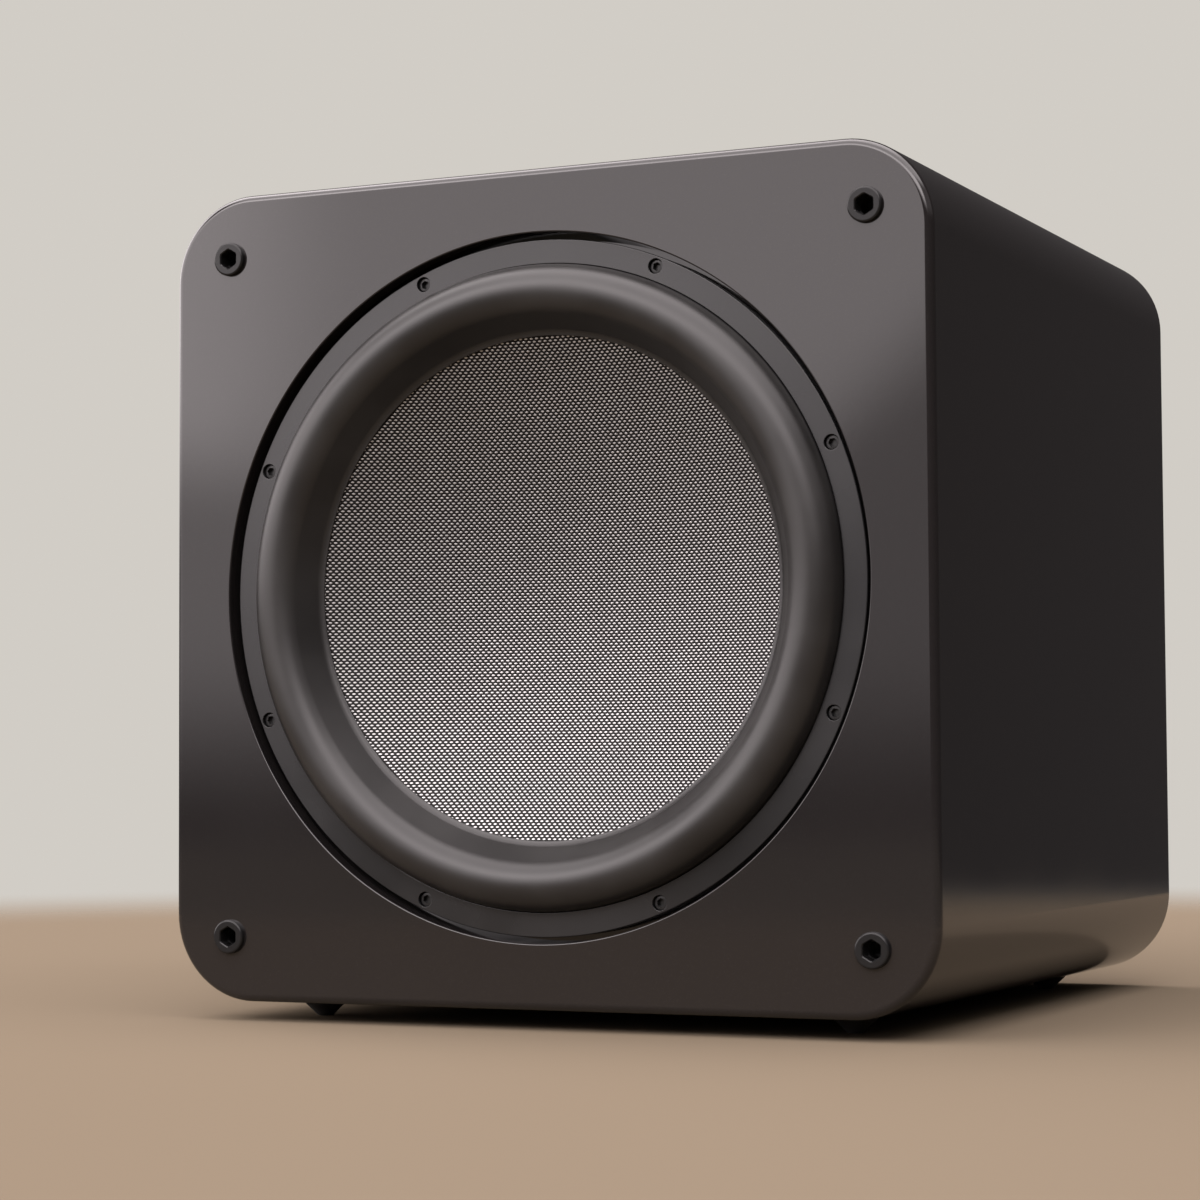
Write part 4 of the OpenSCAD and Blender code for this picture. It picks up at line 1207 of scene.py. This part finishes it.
def between(look, share, low, high):
    """From low to high by share."""
    gap = look.math("SUBTRACT", high, low)
    return look.math("ADD", low, look.math("MULTIPLY", gap, share))


def low_window(look, turn, rise):
    """The large window at the left front: a bright pane over a dim sill."""
    slant = look.math("MAXIMUM", look.math("SUBTRACT", SLANT_FROM, turn), 0.0)
    edge = look.math("ADD", look.math("MULTIPLY", slant, SLANT), PANE_EDGE)
    above = look.span(look.math("SUBTRACT", rise, edge), -1.1, 1.1)
    bright = look.span(turn, 29.5, 32.5, *WINDOW_BRIGHT)
    sill = look.math("MULTIPLY", look.span(turn, 21, 32, *WINDOW_SILL), look.span(rise, -1.0, 2.4))
    pane = between(look, above, sill, bright)
    pane = look.math("MULTIPLY", pane, window(look, turn, 14, 6, 66, 30))
    return look.math("MULTIPLY", pane, look.span(rise, 22, 34, 1.0, 0.0))


def light_from(look, turn, rise):
    """Radiance from every direction above the floor."""
    total = low_window(look, turn, rise)
    for strength, across, up in LAMPS:
        lamp = look.math("MULTIPLY", window(look, turn, *across), window(look, rise, *up))
        total = look.math("ADD", total, look.math("MULTIPLY", lamp, strength))
    start = look.span(look.math("ABSOLUTE", turn), 100, 125, 38, 57)
    overhead = look.span(look.math("SUBTRACT", rise, start), 0, 12)
    total = look.math("ADD", total, look.math("MULTIPLY", overhead, TOP_LIGHT))
    total = look.math("ADD", total, look.math("MULTIPLY", look.span(rise, 64, 78), ZENITH_LIGHT))
    return look.math("ADD", total, AMBIENT)


def studio_light():
    """Soft light by direction: a large window at the left front, a wide top and a dark side.

    Turn is the angle in degrees from straight ahead of the front towards its left, as the
    camera sees it, and rise is the elevation. The camera sees a plain pale background.
    """
    world = bpy.data.worlds.new("studio")
    bpy.context.scene.world = world
    world.use_nodes = True
    look = Finish.__new__(Finish)
    look.tree = world.node_tree
    look.tree.nodes.clear()
    x, y, z = look.axes(look.node("TexCoord").outputs["Generated"])
    to_left = look.math("MULTIPLY", x, -1.0)
    to_front = look.math("MULTIPLY", y, -1.0)
    turn = look.math("MULTIPLY", look.math("ARCTAN2", to_left, to_front), 180 / math.pi)
    rise = look.math("MULTIPLY", look.math("ARCSINE", z), 180 / math.pi)
    horizon = look.span(look.math("ABSOLUTE", turn), 60, 120, -1.4, -2.4)
    under = look.span(look.math("SUBTRACT", rise, horizon), -0.3, 0.3, 1.0, 0.0)
    strength = between(look, under, light_from(look, turn, rise), FLOOR_GLOW)
    studio = look.node("Background")
    look.feed(look.mix(under, LIGHT_TINT, FLOOR_TINT), studio.inputs[0])
    look.feed(strength, studio.inputs[1])
    plain = look.node("Background")
    plain.inputs[0].default_value = (*PALE, 1)
    eye = look.node("LightPath").outputs["Is Camera Ray"]
    choice = look.node("MixShader")
    look.feed(eye, choice.inputs[0])
    look.feed(studio.outputs[0], choice.inputs[1])
    look.feed(plain.outputs[0], choice.inputs[2])
    out = look.node("OutputWorld")
    look.feed(choice.outputs[0], out.inputs[0])
    bpy.context.scene.view_settings.view_transform = "Standard"


def camera():
    """Low and to the right of the front, with a long lens."""
    place = Vector((0.74302, -1.732, 0.14362))
    yaw, pitch, roll = math.radians(25.07), math.radians(3.059), math.radians(-0.317)
    data = bpy.data.cameras.new("camera")
    data.lens = 92.57
    data.sensor_width = 36
    eye = bpy.data.objects.new("camera", data)
    bpy.context.scene.collection.objects.link(eye)
    ahead = Vector(
        (-math.sin(yaw) * math.cos(pitch), math.cos(yaw) * math.cos(pitch), math.sin(pitch))
    )
    right = Vector((math.cos(yaw), math.sin(yaw), 0))
    up = right.cross(ahead)
    right, up = (
        right * math.cos(roll) + up * math.sin(roll),
        up * math.cos(roll) - right * math.sin(roll),
    )
    turn = Matrix((right, up, -ahead)).transposed()
    eye.matrix_world = Matrix.Translation(place) @ turn.to_4x4()
    bpy.context.scene.camera = eye


dress_cad()
baffle()
shell()
grille_sockets()
feet()
trim_ring()
driver_screws()
surround()
spider()
tinsel_leads()
woven_dish()
panel_print()
knob_pointers()
rca_insulators()
rocker_marks()
studio_floor()
studio_light()
camera()
